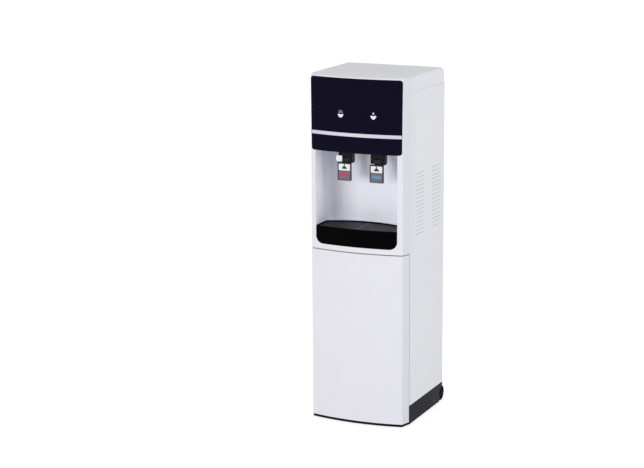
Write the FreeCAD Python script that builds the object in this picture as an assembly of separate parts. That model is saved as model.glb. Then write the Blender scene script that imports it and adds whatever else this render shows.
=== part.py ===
import FreeCAD, Part
import math
import os
from FreeCAD import Vector

# Bottom load water cooler, free standing. Millimetres, +Z up, the front faces -Y.
# The origin lies on the floor, in the middle of the footprint.

os.makedirs("parts", exist_ok=True)

# ---- driving sizes of the cabinet ----
WIDTH = 320.0
DEPTH = 360.0
FRONT_BOW = 18.0            # the front stands this much proud in the middle
CORNER_TAPER = 9.5          # each front corner comes in from the side by this
DOOR_SIDE = 35.0            # length of the tapered side, corner to seam
HOUSING_SIDE = 68.0         # front housing's side, corner to rear edge
REAR_OVERHANG = 28.0        # wheels and condenser behind the sheet metal
EDGE_ROUND = 4.0            # upright front corners
TOP_ROUND = 8.0             # edges of the top

# ---- heights, from the floor up ----
LIP_BOTTOM = 4.0
LIP_THICK = 6.0
DOOR_GAP = 2.0
DOOR_HEIGHT = 530.0
HEAD_GAP = 3.0              # door to front housing
CHIN = 16.0                 # housing under the tray
TRAY_HEIGHT = 56.0
ALCOVE_HEIGHT = 232.0
FASCIA_HEIGHT = 225.0
TOP_RIM = 6.0
SKIRT_TOP = 64.0            # the side panels stand on the base here
FLOOR_TOP = 60.0            # the bottle stands here
LID_HEIGHT = 48.0

# ---- walls and clearances ----
SHEET = 1.2                 # painted steel
WALL = 2.5                  # moulded plastic
BASE_WALL = 3.0
SEAM = 0.5                  # line between two fixed covers
FIT = 0.3                   # loose seat
RUNNING = 0.05              # radial play of a shaft in its hole

# ---- places that follow from them ----
SIDE_X = WIDTH / 2
FRONT_Y = -DEPTH / 2
CORNER_X = SIDE_X - CORNER_TAPER
CORNER_Y = FRONT_Y + FRONT_BOW
SEAM_Y = CORNER_Y + DOOR_SIDE
HOUSING_BACK = CORNER_Y + HOUSING_SIDE
BACK_Y = DEPTH / 2 - REAR_OVERHANG
LIP_TOP = LIP_BOTTOM + LIP_THICK
DOOR_BOTTOM = LIP_TOP + DOOR_GAP
DOOR_TOP = DOOR_BOTTOM + DOOR_HEIGHT
HOUSING_BOTTOM = DOOR_TOP + HEAD_GAP
TRAY_BOTTOM = HOUSING_BOTTOM + CHIN
TRAY_TOP = TRAY_BOTTOM + TRAY_HEIGHT
FASCIA_BOTTOM = TRAY_TOP + ALCOVE_HEIGHT
FASCIA_TOP = FASCIA_BOTTOM + FASCIA_HEIGHT
TOP = FASCIA_TOP + TOP_RIM
LID_BOTTOM = TOP - LID_HEIGHT

X_AXIS = Vector(1, 0, 0)
Y_AXIS = Vector(0, 1, 0)
Z_AXIS = Vector(0, 0, 1)
BIG = 2000.0                # a cutter that reaches past everything


def save(name, *solids):
    shape = solids[0] if len(solids) == 1 else Part.makeCompound(list(solids))
    shape.exportStep("parts/" + name + ".step")


def block(x0, x1, y0, y1, z0, z1):
    return Part.makeBox(x1 - x0, y1 - y0, z1 - z0, Vector(x0, y0, z0))


def rod(radius, start, direction, length):
    return Part.makeCylinder(radius, length, Vector(*start), direction)


def ring(outer, inner, start, direction, length):
    return rod(outer, start, direction, length).cut(rod(inner, start, direction, length))


def join(first, *others):
    return first.fuse(list(others)).removeSplitter()


def mirrored(shape):
    return shape.mirror(Vector(0, 0, 0), X_AXIS)


def turned(points):
    """Solid turned about the Z axis from a closed outline of (radius, height) points."""
    wire = Part.makePolygon([Vector(r, 0, z) for r, z in points + points[:1]])
    return Part.Face(wire).revolve(Vector(0, 0, 0), Z_AXIS, 360)


def along(edge, direction):
    """True for an edge whose ends lie on one line parallel to direction."""
    span = edge.valueAt(edge.LastParameter) - edge.valueAt(edge.FirstParameter)
    return span.Length > 0.01 and span.cross(direction).Length < 0.001 * span.Length


def middle(edge):
    return edge.valueAt((edge.FirstParameter + edge.LastParameter) / 2)


def round_edges(solid, radius, chosen):
    edges = [edge for edge in solid.Edges if chosen(edge)]
    return solid.makeFillet(radius, edges)


def rounded_block(x0, x1, y0, y1, z0, z1, radius, direction):
    """Block whose edges parallel to direction are rounded."""
    return round_edges(block(x0, x1, y0, y1, z0, z1), radius, lambda edge: along(edge, direction))


def bow_radius(inset=0.0):
    return (CORNER_X ** 2 + FRONT_BOW ** 2) / (2 * FRONT_BOW) - inset


def bow_y(x, inset=0.0):
    """Y of the bowed front, inset from its outside, at x."""
    return FRONT_Y + bow_radius() - math.sqrt(bow_radius(inset) ** 2 - x ** 2)


def side_x(y, inset=0.0):
    """Half width at y of the tapered, then straight side, inset from its outside."""
    length = math.hypot(CORNER_TAPER, DOOR_SIDE)
    along_taper = CORNER_X + (y - CORNER_Y) * CORNER_TAPER / DOOR_SIDE - inset * length / DOOR_SIDE
    return min(SIDE_X - inset, along_taper)


def corner_point(inset):
    """Where the inset bow meets the inset taper."""
    x = CORNER_X - inset
    for _ in range(30):
        x = side_x(bow_y(x, inset), inset)
    return x, bow_y(x, inset)


def bend_y(inset):
    """Where the inset taper meets the inset straight side."""
    length = math.hypot(CORNER_TAPER, DOOR_SIDE)
    return CORNER_Y + (CORNER_TAPER - inset + inset * length / DOOR_SIDE) * DOOR_SIDE / CORNER_TAPER


def front_slab(inset, back, z0, z1):
    """Upright slab with the bowed front and tapered sides, cut off flat at y = back."""
    corner_x, corner_y = corner_point(inset)
    bend = min(bend_y(inset), back)
    right = [Vector(corner_x, corner_y, z0), Vector(side_x(bend, inset), bend, z0)]
    if back > bend:
        right.append(Vector(side_x(back, inset), back, z0))
    left = [Vector(-point.x, point.y, z0) for point in reversed(right)]
    apex = Vector(0, bow_y(0, inset), z0)
    edges = [Part.Arc(left[-1], apex, right[0]).toShape()]
    outline = right + left
    edges += [Part.makeLine(a, b) for a, b in zip(outline, outline[1:])]
    slab = Part.Face(Part.Wire(edges)).extrude(Vector(0, 0, z1 - z0))
    radius = max(EDGE_ROUND - inset, 0.8)
    return round_edges(slab, radius,
                       lambda edge: along(edge, Z_AXIS) and abs(middle(edge).y - corner_y) < 0.01)


def bent_tube(points, radius):
    """Tube along straight runs joined by tangent arcs; gives the solid and the bend radii."""
    path = [Vector(*point) for point in points]
    bends = []
    edges = []
    start = path[0]
    for before, corner, after in zip(path, path[1:], path[2:]):
        arriving = (corner - before).normalize()
        leaving = (after - corner).normalize()
        half_turn = arriving.getAngle(leaving) / 2
        setback = 0.45 * min((corner - before).Length, (after - corner).Length)
        bends.append(setback / math.tan(half_turn))
        enter = corner - arriving * setback
        leave = corner + leaving * setback
        inward = (leaving - arriving).normalize()
        sagitta = bends[-1] * (1 / math.cos(half_turn) - 1)
        edges.append(Part.makeLine(start, enter))
        edges.append(Part.Arc(enter, corner + inward * sagitta, leave).toShape())
        start = leave
    edges.append(Part.makeLine(start, path[-1]))
    route = Part.Wire(edges)
    section = Part.Wire(Part.makeCircle(radius, path[0], (path[1] - path[0]).normalize()))
    solid = route.makePipeShell([section], True, False)
    expected = math.pi * radius ** 2 * route.Length
    if abs(solid.Volume / expected - 1) > 0.01:
        print("tube volume differs from its section times its length:", solid.Volume / expected)
    return solid, bends


# ---- base: black moulding, floor plate, feet and wheels ----
BASE_FLOOR = 3.0
WHEEL_RADIUS = 25.0
WHEEL_WIDTH = 22.0
WHEEL_SIDE_GAP = 4.0
WHEEL_ARCH = 3.0
AXLE_RADIUS = 4.0
FOOT_RADIUS = 16.5
FOOT_PAD = 6.0
FOOT_TRAVEL = 12.0
FOOT_SIDE = 41.0            # from the cabinet's side
FOOT_INSET = 22.0           # behind the door seam
STUD_RADIUS = 4.0
FLOOR_PLATE = 2.0
BLOCK_SIDE = 67.0
BLOCK_WIDTH = 45.0
BLOCK_HEIGHT = 28.0
BLOCK_DEPTH = 14.0
BLOCK_PROUD = 1.0
BLOCK_LUG = 6.0             # the lug under a block is narrower by this at each side
BOSS_LENGTH = 16.0          # of the axle and foot bosses
FOOT_GAP = 1.0
STUD_ABOVE = 22.0           # stud above the lip
WHEEL_DISH = 6.0
WHEEL_DISH_DEPTH = 4.0
TREAD_ROUND = 3.0
AXLE_HEAD = 2.0
BASE_FRONT = SEAM_Y + 2.0
WHEEL_Y = DEPTH / 2 - WHEEL_RADIUS
WHEEL_X = SIDE_X - WHEEL_SIDE_GAP - WHEEL_WIDTH / 2
FOOT_X = SIDE_X - FOOT_SIDE
BLOCK_X = SIDE_X - BLOCK_SIDE
POCKET_X = WHEEL_X - WHEEL_WIDTH / 2 - WHEEL_SIDE_GAP
FOOT_Y = SEAM_Y + FOOT_INSET
FLOOR_Z = LIP_TOP + BASE_FLOOR
BLOCK_TOP = FLOOR_TOP - FLOOR_PLATE - 1.0

# ---- door hinge ----
HINGE_SIDE = 13.0           # pin from the cabinet's side
HINGE_SEAM = 14.5           # pin in front of the door's seam
CORNER_CLEAR = 13.5         # the door's rear left corner is rounded about the hinge
PIN_RADIUS = 2.5
BUSH_WALL = 2.0
BUSH_HEIGHT = 10.0
HINGE_X = -SIDE_X + HINGE_SIDE
HINGE_Y = SEAM_Y - HINGE_SEAM


def base_tray():
    lip = front_slab(1.0, BASE_FRONT + BASE_WALL, LIP_BOTTOM, LIP_TOP)
    outside = block(-SIDE_X, SIDE_X, BASE_FRONT, BACK_Y, LIP_BOTTOM, SKIRT_TOP)
    inside = block(-SIDE_X + BASE_WALL, SIDE_X - BASE_WALL, BASE_FRONT - BASE_WALL, BACK_Y - BASE_WALL,
                   FLOOR_Z, SKIRT_TOP + BASE_WALL)
    under = block(-SIDE_X + BASE_WALL, SIDE_X - BASE_WALL, BASE_FRONT + BASE_WALL, BACK_Y - BASE_WALL,
                  0, LIP_TOP)
    solid = lip.fuse(outside.cut(inside).cut(under))
    ledge_z = FLOOR_TOP - FLOOR_PLATE
    ledge = block(-SIDE_X + BASE_WALL, SIDE_X - BASE_WALL, BACK_Y - 3 * BASE_WALL, BACK_Y - BASE_WALL,
                  FLOOR_Z, ledge_z)
    solid = solid.fuse(ledge)
    for side in (-1, 1):
        rail = sorted((side * (SIDE_X - BASE_WALL), side * (SIDE_X - 3 * BASE_WALL)))
        solid = solid.fuse(block(rail[0], rail[1], BASE_FRONT, BACK_Y - BASE_WALL, FLOOR_Z, ledge_z))
        arch = WHEEL_RADIUS + WHEEL_ARCH
        span = sorted((side * POCKET_X, side * (SIDE_X + BASE_WALL)))
        wall = sorted((side * (POCKET_X - BASE_WALL), side * SIDE_X))
        house = rod(arch + BASE_WALL, (wall[0], WHEEL_Y, WHEEL_RADIUS), X_AXIS, wall[1] - wall[0])
        house = house.common(block(wall[0], wall[1], 0, BACK_Y, LIP_BOTTOM, ledge_z))
        pocket = rod(arch, (span[0], WHEEL_Y, WHEEL_RADIUS), X_AXIS, span[1] - span[0])
        pocket = pocket.fuse(block(span[0], span[1], WHEEL_Y - arch, BIG, -BASE_WALL, WHEEL_RADIUS))
        solid = solid.fuse(house).cut(pocket)
        boss = rod(AXLE_RADIUS + BASE_WALL, (side * POCKET_X, WHEEL_Y, WHEEL_RADIUS), X_AXIS * -side,
                   BOSS_LENGTH)
        rib_span = sorted((side * POCKET_X, side * (POCKET_X - BOSS_LENGTH)))
        rib = block(rib_span[0], rib_span[1], WHEEL_Y - AXLE_RADIUS - 2 * BASE_WALL, WHEEL_Y - AXLE_RADIUS,
                    LIP_TOP, WHEEL_RADIUS)
        hole = rod(AXLE_RADIUS, (side * (POCKET_X + 1), WHEEL_Y, WHEEL_RADIUS), X_AXIS * -side,
                   BOSS_LENGTH + 1)
        solid = solid.fuse([boss.common(block(-BIG, BIG, 0, BIG, 0, BIG)), rib]).cut(hole)
        foot_boss = rod(STUD_RADIUS + BASE_WALL, (side * FOOT_X, FOOT_Y, LIP_TOP), Z_AXIS, BOSS_LENGTH)
        foot_hole = rod(STUD_RADIUS + RUNNING, (side * FOOT_X, FOOT_Y, 0), Z_AXIS, LIP_TOP + 2 * BOSS_LENGTH)
        solid = solid.fuse(foot_boss).cut(foot_hole)
        solid = solid.cut(rod(FOOT_RADIUS + FOOT_GAP, (side * FOOT_X, FOOT_Y, 0), Z_AXIS, LIP_TOP))
    pin_hole = rod(PIN_RADIUS, (HINGE_X, HINGE_Y, 0), Z_AXIS, LIP_TOP + 1)
    return solid.cut(pin_hole).removeSplitter()


def block_span(side):
    return side * BLOCK_X - BLOCK_WIDTH / 2, side * BLOCK_X + BLOCK_WIDTH / 2


def floor_plate():
    edge = SIDE_X - BASE_WALL - FIT
    plate = block(-edge, edge, BASE_FRONT, BACK_Y - BASE_WALL - FIT, FLOOR_TOP - FLOOR_PLATE, FLOOR_TOP)
    inner = SIDE_X - 3 * BASE_WALL - FIT
    apron = block(-inner, inner, BASE_FRONT, BASE_FRONT + FLOOR_PLATE, FLOOR_Z, FLOOR_TOP)
    solid = join(plate, apron)
    for side in (-1, 1):
        x0, x1 = block_span(side)
        solid = solid.cut(block(x0, x1, BASE_FRONT - 1, BASE_FRONT + FLOOR_PLATE + 1,
                                BLOCK_TOP - BLOCK_HEIGHT, BLOCK_TOP))
    return solid


def catch_blocks():
    """Two black blocks that hold the door's magnets, in notches of the apron."""
    blocks = []
    for side in (-1, 1):
        x0, x1 = block_span(side)
        block_back = BASE_FRONT - BLOCK_PROUD + BLOCK_DEPTH
        body = rounded_block(x0, x1, BASE_FRONT - BLOCK_PROUD, block_back,
                             BLOCK_TOP - BLOCK_HEIGHT, BLOCK_TOP, 2.0, Y_AXIS)
        lug = block(x0 + BLOCK_LUG, x1 - BLOCK_LUG, BASE_FRONT + 2 * FLOOR_PLATE, block_back, FLOOR_Z,
                    BLOCK_TOP - FLOOR_PLATE)
        blocks.append(join(body, lug))
    return blocks


def hinge_pins():
    low = rod(PIN_RADIUS, (HINGE_X, HINGE_Y, LIP_BOTTOM), Z_AXIS, DOOR_BOTTOM + BUSH_HEIGHT - LIP_BOTTOM)
    top_end = HOUSING_BOTTOM + 2 * WALL
    high = rod(PIN_RADIUS, (HINGE_X, HINGE_Y, DOOR_TOP - BUSH_HEIGHT), Z_AXIS,
               top_end - DOOR_TOP + BUSH_HEIGHT)
    return [low, high]


def foot(side):
    pad = turned([(0, 0), (FOOT_RADIUS - 1, 0), (FOOT_RADIUS, 1), (FOOT_RADIUS - 2, FOOT_PAD),
                  (STUD_RADIUS, FOOT_PAD), (0, FOOT_PAD)])
    stud = rod(STUD_RADIUS, (0, 0, FOOT_PAD - 1), Z_AXIS, LIP_TOP + STUD_ABOVE + FOOT_TRAVEL - FOOT_PAD)
    return join(pad, stud).translate(Vector(side * FOOT_X, FOOT_Y, 0))


def wheel_parts(side):
    inner = POCKET_X + WHEEL_SIDE_GAP
    hub = ring(WHEEL_RADIUS, AXLE_RADIUS + RUNNING, (inner, WHEEL_Y, WHEEL_RADIUS), X_AXIS, WHEEL_WIDTH)
    hub = round_edges(hub, TREAD_ROUND, lambda edge: abs(edge.Length - 2 * math.pi * WHEEL_RADIUS) < 0.1)
    dish = ring(WHEEL_RADIUS - WHEEL_DISH, AXLE_RADIUS + WHEEL_DISH - 1,
                (inner + WHEEL_WIDTH - WHEEL_DISH_DEPTH, WHEEL_Y, WHEEL_RADIUS), X_AXIS, WHEEL_DISH_DEPTH + 1)
    wheel = hub.cut(dish)
    axle = rod(AXLE_RADIUS, (POCKET_X - BOSS_LENGTH, WHEEL_Y, WHEEL_RADIUS), X_AXIS,
               BOSS_LENGTH + WHEEL_SIDE_GAP + WHEEL_WIDTH + 1)
    head = rod(AXLE_RADIUS + AXLE_HEAD, (inner + WHEEL_WIDTH + FIT, WHEEL_Y, WHEEL_RADIUS), X_AXIS, AXLE_HEAD)
    collar = ring(AXLE_RADIUS + 3, AXLE_RADIUS - 1, (POCKET_X, WHEEL_Y, WHEEL_RADIUS), X_AXIS,
                  WHEEL_SIDE_GAP - FIT)
    axle = join(axle, head, collar)
    return (mirrored(wheel), mirrored(axle)) if side < 0 else (wheel, axle)


save("base_tray", base_tray())
save("floor_plate", floor_plate())
save("catch_blocks", *catch_blocks())
save("hinge_pins", *hinge_pins())
for side, word in ((-1, "left"), (1, "right")):
    save(word + "_foot", foot(side))
    save(word + "_wheel", wheel_parts(side)[0])
save("wheel_axles", wheel_parts(-1)[1], wheel_parts(1)[1])


# ---- sheet metal: side panels and back panel ----
FLANGE = 10.0
LOUVRE_PITCH = 12.5
LOUVRE_LENGTH = 67.0
LOUVRE_SLOT = 1.5
LOUVRE_DEPTH = 5.0
HOOD_ROOT = 0.2             # hood runs this far into the sheet
LOUVRE_COUNT = 16
LOUVRE_BASE = 25.0          # lowest louvre below the tray's rim
LOUVRE_FRONT_GAP = 13.0     # housing to the front column
LOUVRE_REAR_GAP = 34.0      # rear column to the back
WINDOW_SIDE = 45.0
WINDOW_HEIGHT = 255.0
WINDOW_BELOW = 32.0         # window's top below the tray's rim
WINDOW_CORNER = 12.0
VENT_PITCH = 12.0
VENT_WIDTH = 4.0
VENT_HEIGHT = 40.0
VENT_REACH = 60.0
VENT_ROW = 55.0
LOUVRE_BOTTOM = TRAY_TOP - LOUVRE_BASE
LOUVRE_COLUMNS = (HOUSING_BACK + LOUVRE_FRONT_GAP, BACK_Y - LOUVRE_REAR_GAP - LOUVRE_LENGTH)
WINDOW_HALF = SIDE_X - WINDOW_SIDE
WINDOW_TOP = TRAY_TOP - WINDOW_BELOW
VENT_BOTTOM = FASCIA_BOTTOM + 1.0


def louvres(surface_x):
    """Slots through a panel and the hoods pressed inwards over them."""
    slots = []
    hoods = []
    for y0 in LOUVRE_COLUMNS:
        for row in range(LOUVRE_COUNT):
            z = LOUVRE_BOTTOM + row * LOUVRE_PITCH
            slots.append(block(surface_x - 2 * SHEET, surface_x + SHEET, y0, y0 + LOUVRE_LENGTH,
                               z, z + LOUVRE_SLOT))
            inner = surface_x - SHEET
            lip = [Vector(inner + HOOD_ROOT, y0, z - SHEET),
                   Vector(inner - LOUVRE_DEPTH, y0, z + LOUVRE_DEPTH - SHEET),
                   Vector(inner - LOUVRE_DEPTH, y0, z + LOUVRE_DEPTH),
                   Vector(inner + HOOD_ROOT, y0, z)]
            face = Part.Face(Part.makePolygon(lip + lip[:1]))
            hoods.append(face.extrude(Vector(0, LOUVRE_LENGTH, 0)))
    return slots, hoods


def side_panel():
    """Right panel: sheet with front and rear flanges and two columns of louvres."""
    x0 = SIDE_X - SHEET
    front_low = block(x0, SIDE_X, SEAM_Y, HOUSING_BACK + SEAM, SKIRT_TOP, HOUSING_BOTTOM - SEAM)
    rear = block(x0, SIDE_X, HOUSING_BACK + SEAM, BACK_Y, SKIRT_TOP, LID_BOTTOM - SEAM)
    front_flange = block(SIDE_X - FLANGE, SIDE_X, SEAM_Y, SEAM_Y + SHEET, SKIRT_TOP, HOUSING_BOTTOM - SEAM)
    rear_flange = block(SIDE_X - FLANGE, SIDE_X, BACK_Y - SHEET, BACK_Y, SKIRT_TOP, LID_BOTTOM - SEAM)
    solid = join(front_low, rear, front_flange, rear_flange)
    slots, hoods = louvres(SIDE_X)
    return solid.cut(slots).fuse(hoods).removeSplitter()


def back_panel(holes):
    edge = SIDE_X - SHEET - FIT
    y0 = BACK_Y - 2 * SHEET
    sheet = block(-edge, edge, y0, y0 + SHEET, SKIRT_TOP, LID_BOTTOM - SEAM)
    window = rounded_block(-WINDOW_HALF, WINDOW_HALF, y0 - SHEET, BACK_Y + SHEET,
                           WINDOW_TOP - WINDOW_HEIGHT, WINDOW_TOP, WINDOW_CORNER, Y_AXIS)
    half = VENT_WIDTH / 2
    count = int(VENT_REACH / VENT_PITCH)
    vents = [rounded_block(step * VENT_PITCH - half, step * VENT_PITCH + half, y0 - SHEET, BACK_Y + SHEET,
                           z, z + VENT_HEIGHT, 0.95 * half, Y_AXIS)
             for z in (VENT_BOTTOM, VENT_BOTTOM + VENT_ROW) for step in range(-count, count + 1)]
    return sheet.cut([window] + vents + holes)


save("right_side_panel", side_panel())
save("left_side_panel", mirrored(side_panel()))


# ---- front housing, alcove, fascia and top cover ----
ALCOVE_SIDE = 26.0          # from the cabinet's side to the alcove
ALCOVE_DEPTH = 112.0        # from the front corners
ALCOVE_CORNER = 34.0
TRAY_CORNER = 24.0
TRAY_CLEAR = 0.8
TRAY_SIDE_DEPTH = 70.0
TRAY_BEHIND = 8.0           # tray's back edge to the alcove's back
FASCIA_SIDE = 10.0
FASCIA_DRAFT = 2.0
FASCIA_CORNER = 9.0
FASCIA_THICK = 3.0
FASCIA_SET = 0.5
TRIM_BOTTOM_STEP = 50.0     # fascia's lower edge to the trim
TRIM_HEIGHT = 10.5
TRIM_DEPTH = 1.5
ICON_STEP = 117.0           # fascia's lower edge to the icons
ICON_X = 53.0
ICON_RIGHT = 8.0            # both icons lie this far to the right
TAP_HOLE_RADIUS = 9.0
TAP_X = 53.0
TAP_DEPTH_IN = 62.0         # taps behind the front corners
LENS_RADIUS = 9.0
LENS_STEM = 3.0
LENS_HOLE = 4.0
LID_ROUND = 25.0            # rear edge of the top cover
ALCOVE_HALF = SIDE_X - ALCOVE_SIDE
ALCOVE_BACK = CORNER_Y + ALCOVE_DEPTH
TRAY_SIDE_BACK = CORNER_Y + TRAY_SIDE_DEPTH
TRAY_BACK = ALCOVE_BACK - TRAY_BEHIND
FASCIA_HALF_TOP = SIDE_X - FASCIA_SIDE
FASCIA_HALF_BOTTOM = FASCIA_HALF_TOP - FASCIA_DRAFT
TAP_Y = CORNER_Y + TAP_DEPTH_IN
CEILING = FASCIA_BOTTOM + FASCIA_THICK


def fascia_outline(clear):
    """Prism seen from the front: a rounded trapezium."""
    low = FASCIA_HALF_BOTTOM + clear
    high = FASCIA_HALF_TOP + clear
    z0 = FASCIA_BOTTOM - clear
    z1 = FASCIA_TOP + clear
    corners = [Vector(-low, -BIG, z0), Vector(low, -BIG, z0), Vector(high, -BIG, z1), Vector(-high, -BIG, z1)]
    face = Part.Face(Part.makePolygon(corners + corners[:1]))
    prism = face.extrude(Vector(0, BIG + CORNER_Y + 2 * EDGE_ROUND, 0))
    return round_edges(prism, FASCIA_CORNER + clear, lambda edge: along(edge, Y_AXIS))


def front_skin(inset, thick, z0, z1):
    back = CORNER_Y + 30.0
    return front_slab(inset, back, z0, z1).cut(front_slab(inset + thick, back + 1, z0 - 1, z1 + 1))


def trim_outline(clear):
    z0 = FASCIA_BOTTOM + TRIM_BOTTOM_STEP - clear
    return block(-FASCIA_HALF_BOTTOM + 1 - clear, FASCIA_HALF_BOTTOM - 1 + clear, -BIG, CORNER_Y + 3,
                 z0, z0 + TRIM_HEIGHT + 2 * clear)


def icon_discs(radius, y0, y1):
    z = FASCIA_BOTTOM + ICON_STEP
    return [rod(radius, (ICON_RIGHT + side * ICON_X, y0, z), Y_AXIS, y1 - y0) for side in (-1, 1)]


def fascia_panel():
    skin = front_skin(FASCIA_SET, FASCIA_THICK, FASCIA_BOTTOM, FASCIA_TOP).common(fascia_outline(0))
    groove = front_skin(0, FASCIA_SET + TRIM_DEPTH, FASCIA_BOTTOM, FASCIA_TOP).common(trim_outline(0))
    return skin.cut([groove] + icon_discs(LENS_RADIUS, FRONT_Y - 1, CORNER_Y))


def fascia_trim():
    return front_skin(0, FASCIA_SET + TRIM_DEPTH, FASCIA_BOTTOM, FASCIA_TOP).common(trim_outline(0))


def indicator_lenses():
    """Two round lenses in the fascia, each on a stem that reaches the board."""
    skin = front_skin(FASCIA_SET, FASCIA_THICK, FASCIA_BOTTOM, FASCIA_TOP)
    discs = [skin.common(disc) for disc in icon_discs(LENS_RADIUS, FRONT_Y - 1, CORNER_Y)]
    stems = icon_discs(LENS_STEM, bow_y(ICON_X - ICON_RIGHT, FASCIA_SET + FASCIA_THICK) - 0.6, CORNER_Y + 1)
    return [join(disc, stem) for disc, stem in zip(discs, stems)]


def front_opening(clear):
    """Opening for the alcove and, below it, the tray's front with its round lower corners."""
    half = ALCOVE_HALF + clear
    shape = block(-half, half, -BIG, CORNER_Y + 20, TRAY_BOTTOM - clear, FASCIA_BOTTOM)
    return round_edges(shape, TRAY_CORNER, lambda edge: along(edge, Y_AXIS)
                       and abs(middle(edge).z - TRAY_BOTTOM + clear) < 0.01)


def front_housing():
    outside = front_slab(0, HOUSING_BACK, HOUSING_BOTTOM, TOP)
    outside = round_edges(outside, TOP_ROUND - 2,
                          lambda edge: abs(middle(edge).z - TOP) < 0.01 and middle(edge).y < HOUSING_BACK - 1)
    inside = front_slab(WALL, HOUSING_BACK + 1, HOUSING_BOTTOM + WALL, TOP - WALL)
    below = block(-SIDE_X + 2 * WALL, SIDE_X - 2 * WALL, SEAM_Y, HOUSING_BACK + 1, HOUSING_BOTTOM - 1,
                  HOUSING_BOTTOM + WALL)
    solid = outside.cut(inside).cut(below)
    recess = FASCIA_SET + FASCIA_THICK
    backing = front_skin(0, recess + WALL, FASCIA_BOTTOM - WALL, FASCIA_TOP + WALL)
    backing = backing.common(fascia_outline(WALL)).common(outside)
    pocket = front_skin(0, recess, FASCIA_BOTTOM - 1, FASCIA_TOP + 1).common(fascia_outline(0))
    solid = solid.fuse(backing).cut([pocket, front_opening(0)])
    boss = rod(PIN_RADIUS + WALL, (HINGE_X, HINGE_Y, HOUSING_BOTTOM), Z_AXIS, 2 * WALL)
    boss = boss.common(front_slab(WALL / 2, HOUSING_BACK, HOUSING_BOTTOM, TOP))
    pin_hole = rod(PIN_RADIUS, (HINGE_X, HINGE_Y, HOUSING_BOTTOM - 1), Z_AXIS, 2 * WALL + 1)
    solid = solid.fuse(boss).cut([pin_hole] + icon_discs(LENS_HOLE, FRONT_Y, CORNER_Y + 10))
    return solid.removeSplitter()


def tray_plan(clear, z0, z1, front):
    """Tray seen from above: straight sides and a back edge that bulges rearwards."""
    half = ALCOVE_HALF - TRAY_CLEAR + clear
    left = Vector(-half, TRAY_SIDE_BACK + clear, z0)
    right = Vector(half, TRAY_SIDE_BACK + clear, z0)
    back = Part.Arc(right, Vector(0, TRAY_BACK + clear, z0), left).toShape()
    lines = [Part.makeLine(left, Vector(-half, front, z0)),
             Part.makeLine(Vector(-half, front, z0), Vector(half, front, z0)),
             Part.makeLine(Vector(half, front, z0), right)]
    return Part.Face(Part.Wire([back] + lines)).extrude(Vector(0, 0, z1 - z0))


def rounded_tray(clear, z0, z1, front):
    """The tray's plan as a solid, with its lower side edges rounded."""
    return round_edges(tray_plan(clear, z0, z1, front), TRAY_CORNER + clear,
                       lambda edge: along(edge, Y_AXIS) and abs(middle(edge).z - z0) < 0.01)


def alcove_space(grow):
    """The alcove's room, with round rear corners, grown all round."""
    half = ALCOVE_HALF + grow
    room = block(-half, half, FRONT_Y, ALCOVE_BACK + grow, TRAY_TOP - grow, CEILING + grow)
    return round_edges(room, ALCOVE_CORNER + grow,
                       lambda edge: along(edge, Z_AXIS) and middle(edge).y > FRONT_Y + 1)


def alcove_liner():
    """White recess behind the taps, with a pocket below it that the drip tray slides into."""
    outer = alcove_space(WALL)
    inner = alcove_space(0)
    pocket_outer = rounded_tray(TRAY_CLEAR + WALL, TRAY_BOTTOM - TRAY_CLEAR - WALL, TRAY_TOP, FRONT_Y)
    pocket_inner = rounded_tray(TRAY_CLEAR, TRAY_BOTTOM - TRAY_CLEAR, TRAY_TOP + 1, FRONT_Y)
    solid = outer.fuse(pocket_outer).cut([inner, pocket_inner])
    solid = solid.common(front_slab(WALL, BIG, HOUSING_BOTTOM, TOP))
    keep = front_slab(FASCIA_SET + FASCIA_THICK + WALL, BIG, FASCIA_BOTTOM - WALL, TOP)
    upper = block(-BIG, BIG, -BIG, BIG, FASCIA_BOTTOM - WALL, TOP)
    solid = solid.cut(upper).fuse(solid.common(upper).common(keep))
    holes = [rod(TAP_HOLE_RADIUS, (side * TAP_X, TAP_Y, CEILING - 1), Z_AXIS, WALL + 2) for side in (-1, 1)]
    return solid.cut(holes).removeSplitter()


def top_cover():
    outside = block(-SIDE_X, SIDE_X, HOUSING_BACK + SEAM, BACK_Y, LID_BOTTOM, TOP)
    inside = block(-SIDE_X + WALL, SIDE_X - WALL, HOUSING_BACK, BACK_Y - WALL, LID_BOTTOM - 1, TOP - WALL)

    def rear_top(edge):
        return along(edge, X_AXIS) and middle(edge).z > TOP - WALL - 1 and middle(edge).y > 0

    outside = round_edges(outside, LID_ROUND, rear_top)
    inside = round_edges(inside, LID_ROUND - WALL, rear_top)
    outside = round_edges(outside, TOP_ROUND - 2,
                          lambda edge: abs(abs(middle(edge).x) - SIDE_X) < 0.01
                          and middle(edge).z > LID_BOTTOM + 1 and middle(edge).y > HOUSING_BACK + 2 * SEAM)
    return outside.cut(inside)


save("front_housing", front_housing())
save("alcove_liner", alcove_liner())
save("fascia_panel", fascia_panel())
save("fascia_trim", fascia_trim())
save("indicator_lenses", *indicator_lenses())
save("top_cover", top_cover())


# ---- door ----
LINER_DEPTH = 12.0          # door skin to the dished liner
LINER_WALL = 2.5
RIM_ABOVE = 2.0             # the liner's dish starts this far above the bay's floor
STRIKE_WIDTH = 30.0
STRIKE_HEIGHT = 18.0
STRIKE_THICK = 1.0
DOOR_BACK = SEAM_Y - DOOR_GAP
RIM_TOP = FLOOR_TOP + RIM_ABOVE


def corner_cutter(radius, z0, z1):
    """Rear left corner of the door outside a radius about the hinge."""
    corner = block(-SIDE_X - 1, HINGE_X, HINGE_Y, SEAM_Y + 1, z0 - 1, z1 + 1)
    return corner.cut(rod(radius, (HINGE_X, HINGE_Y, z0 - 2), Z_AXIS, z1 - z0 + 4))


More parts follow.
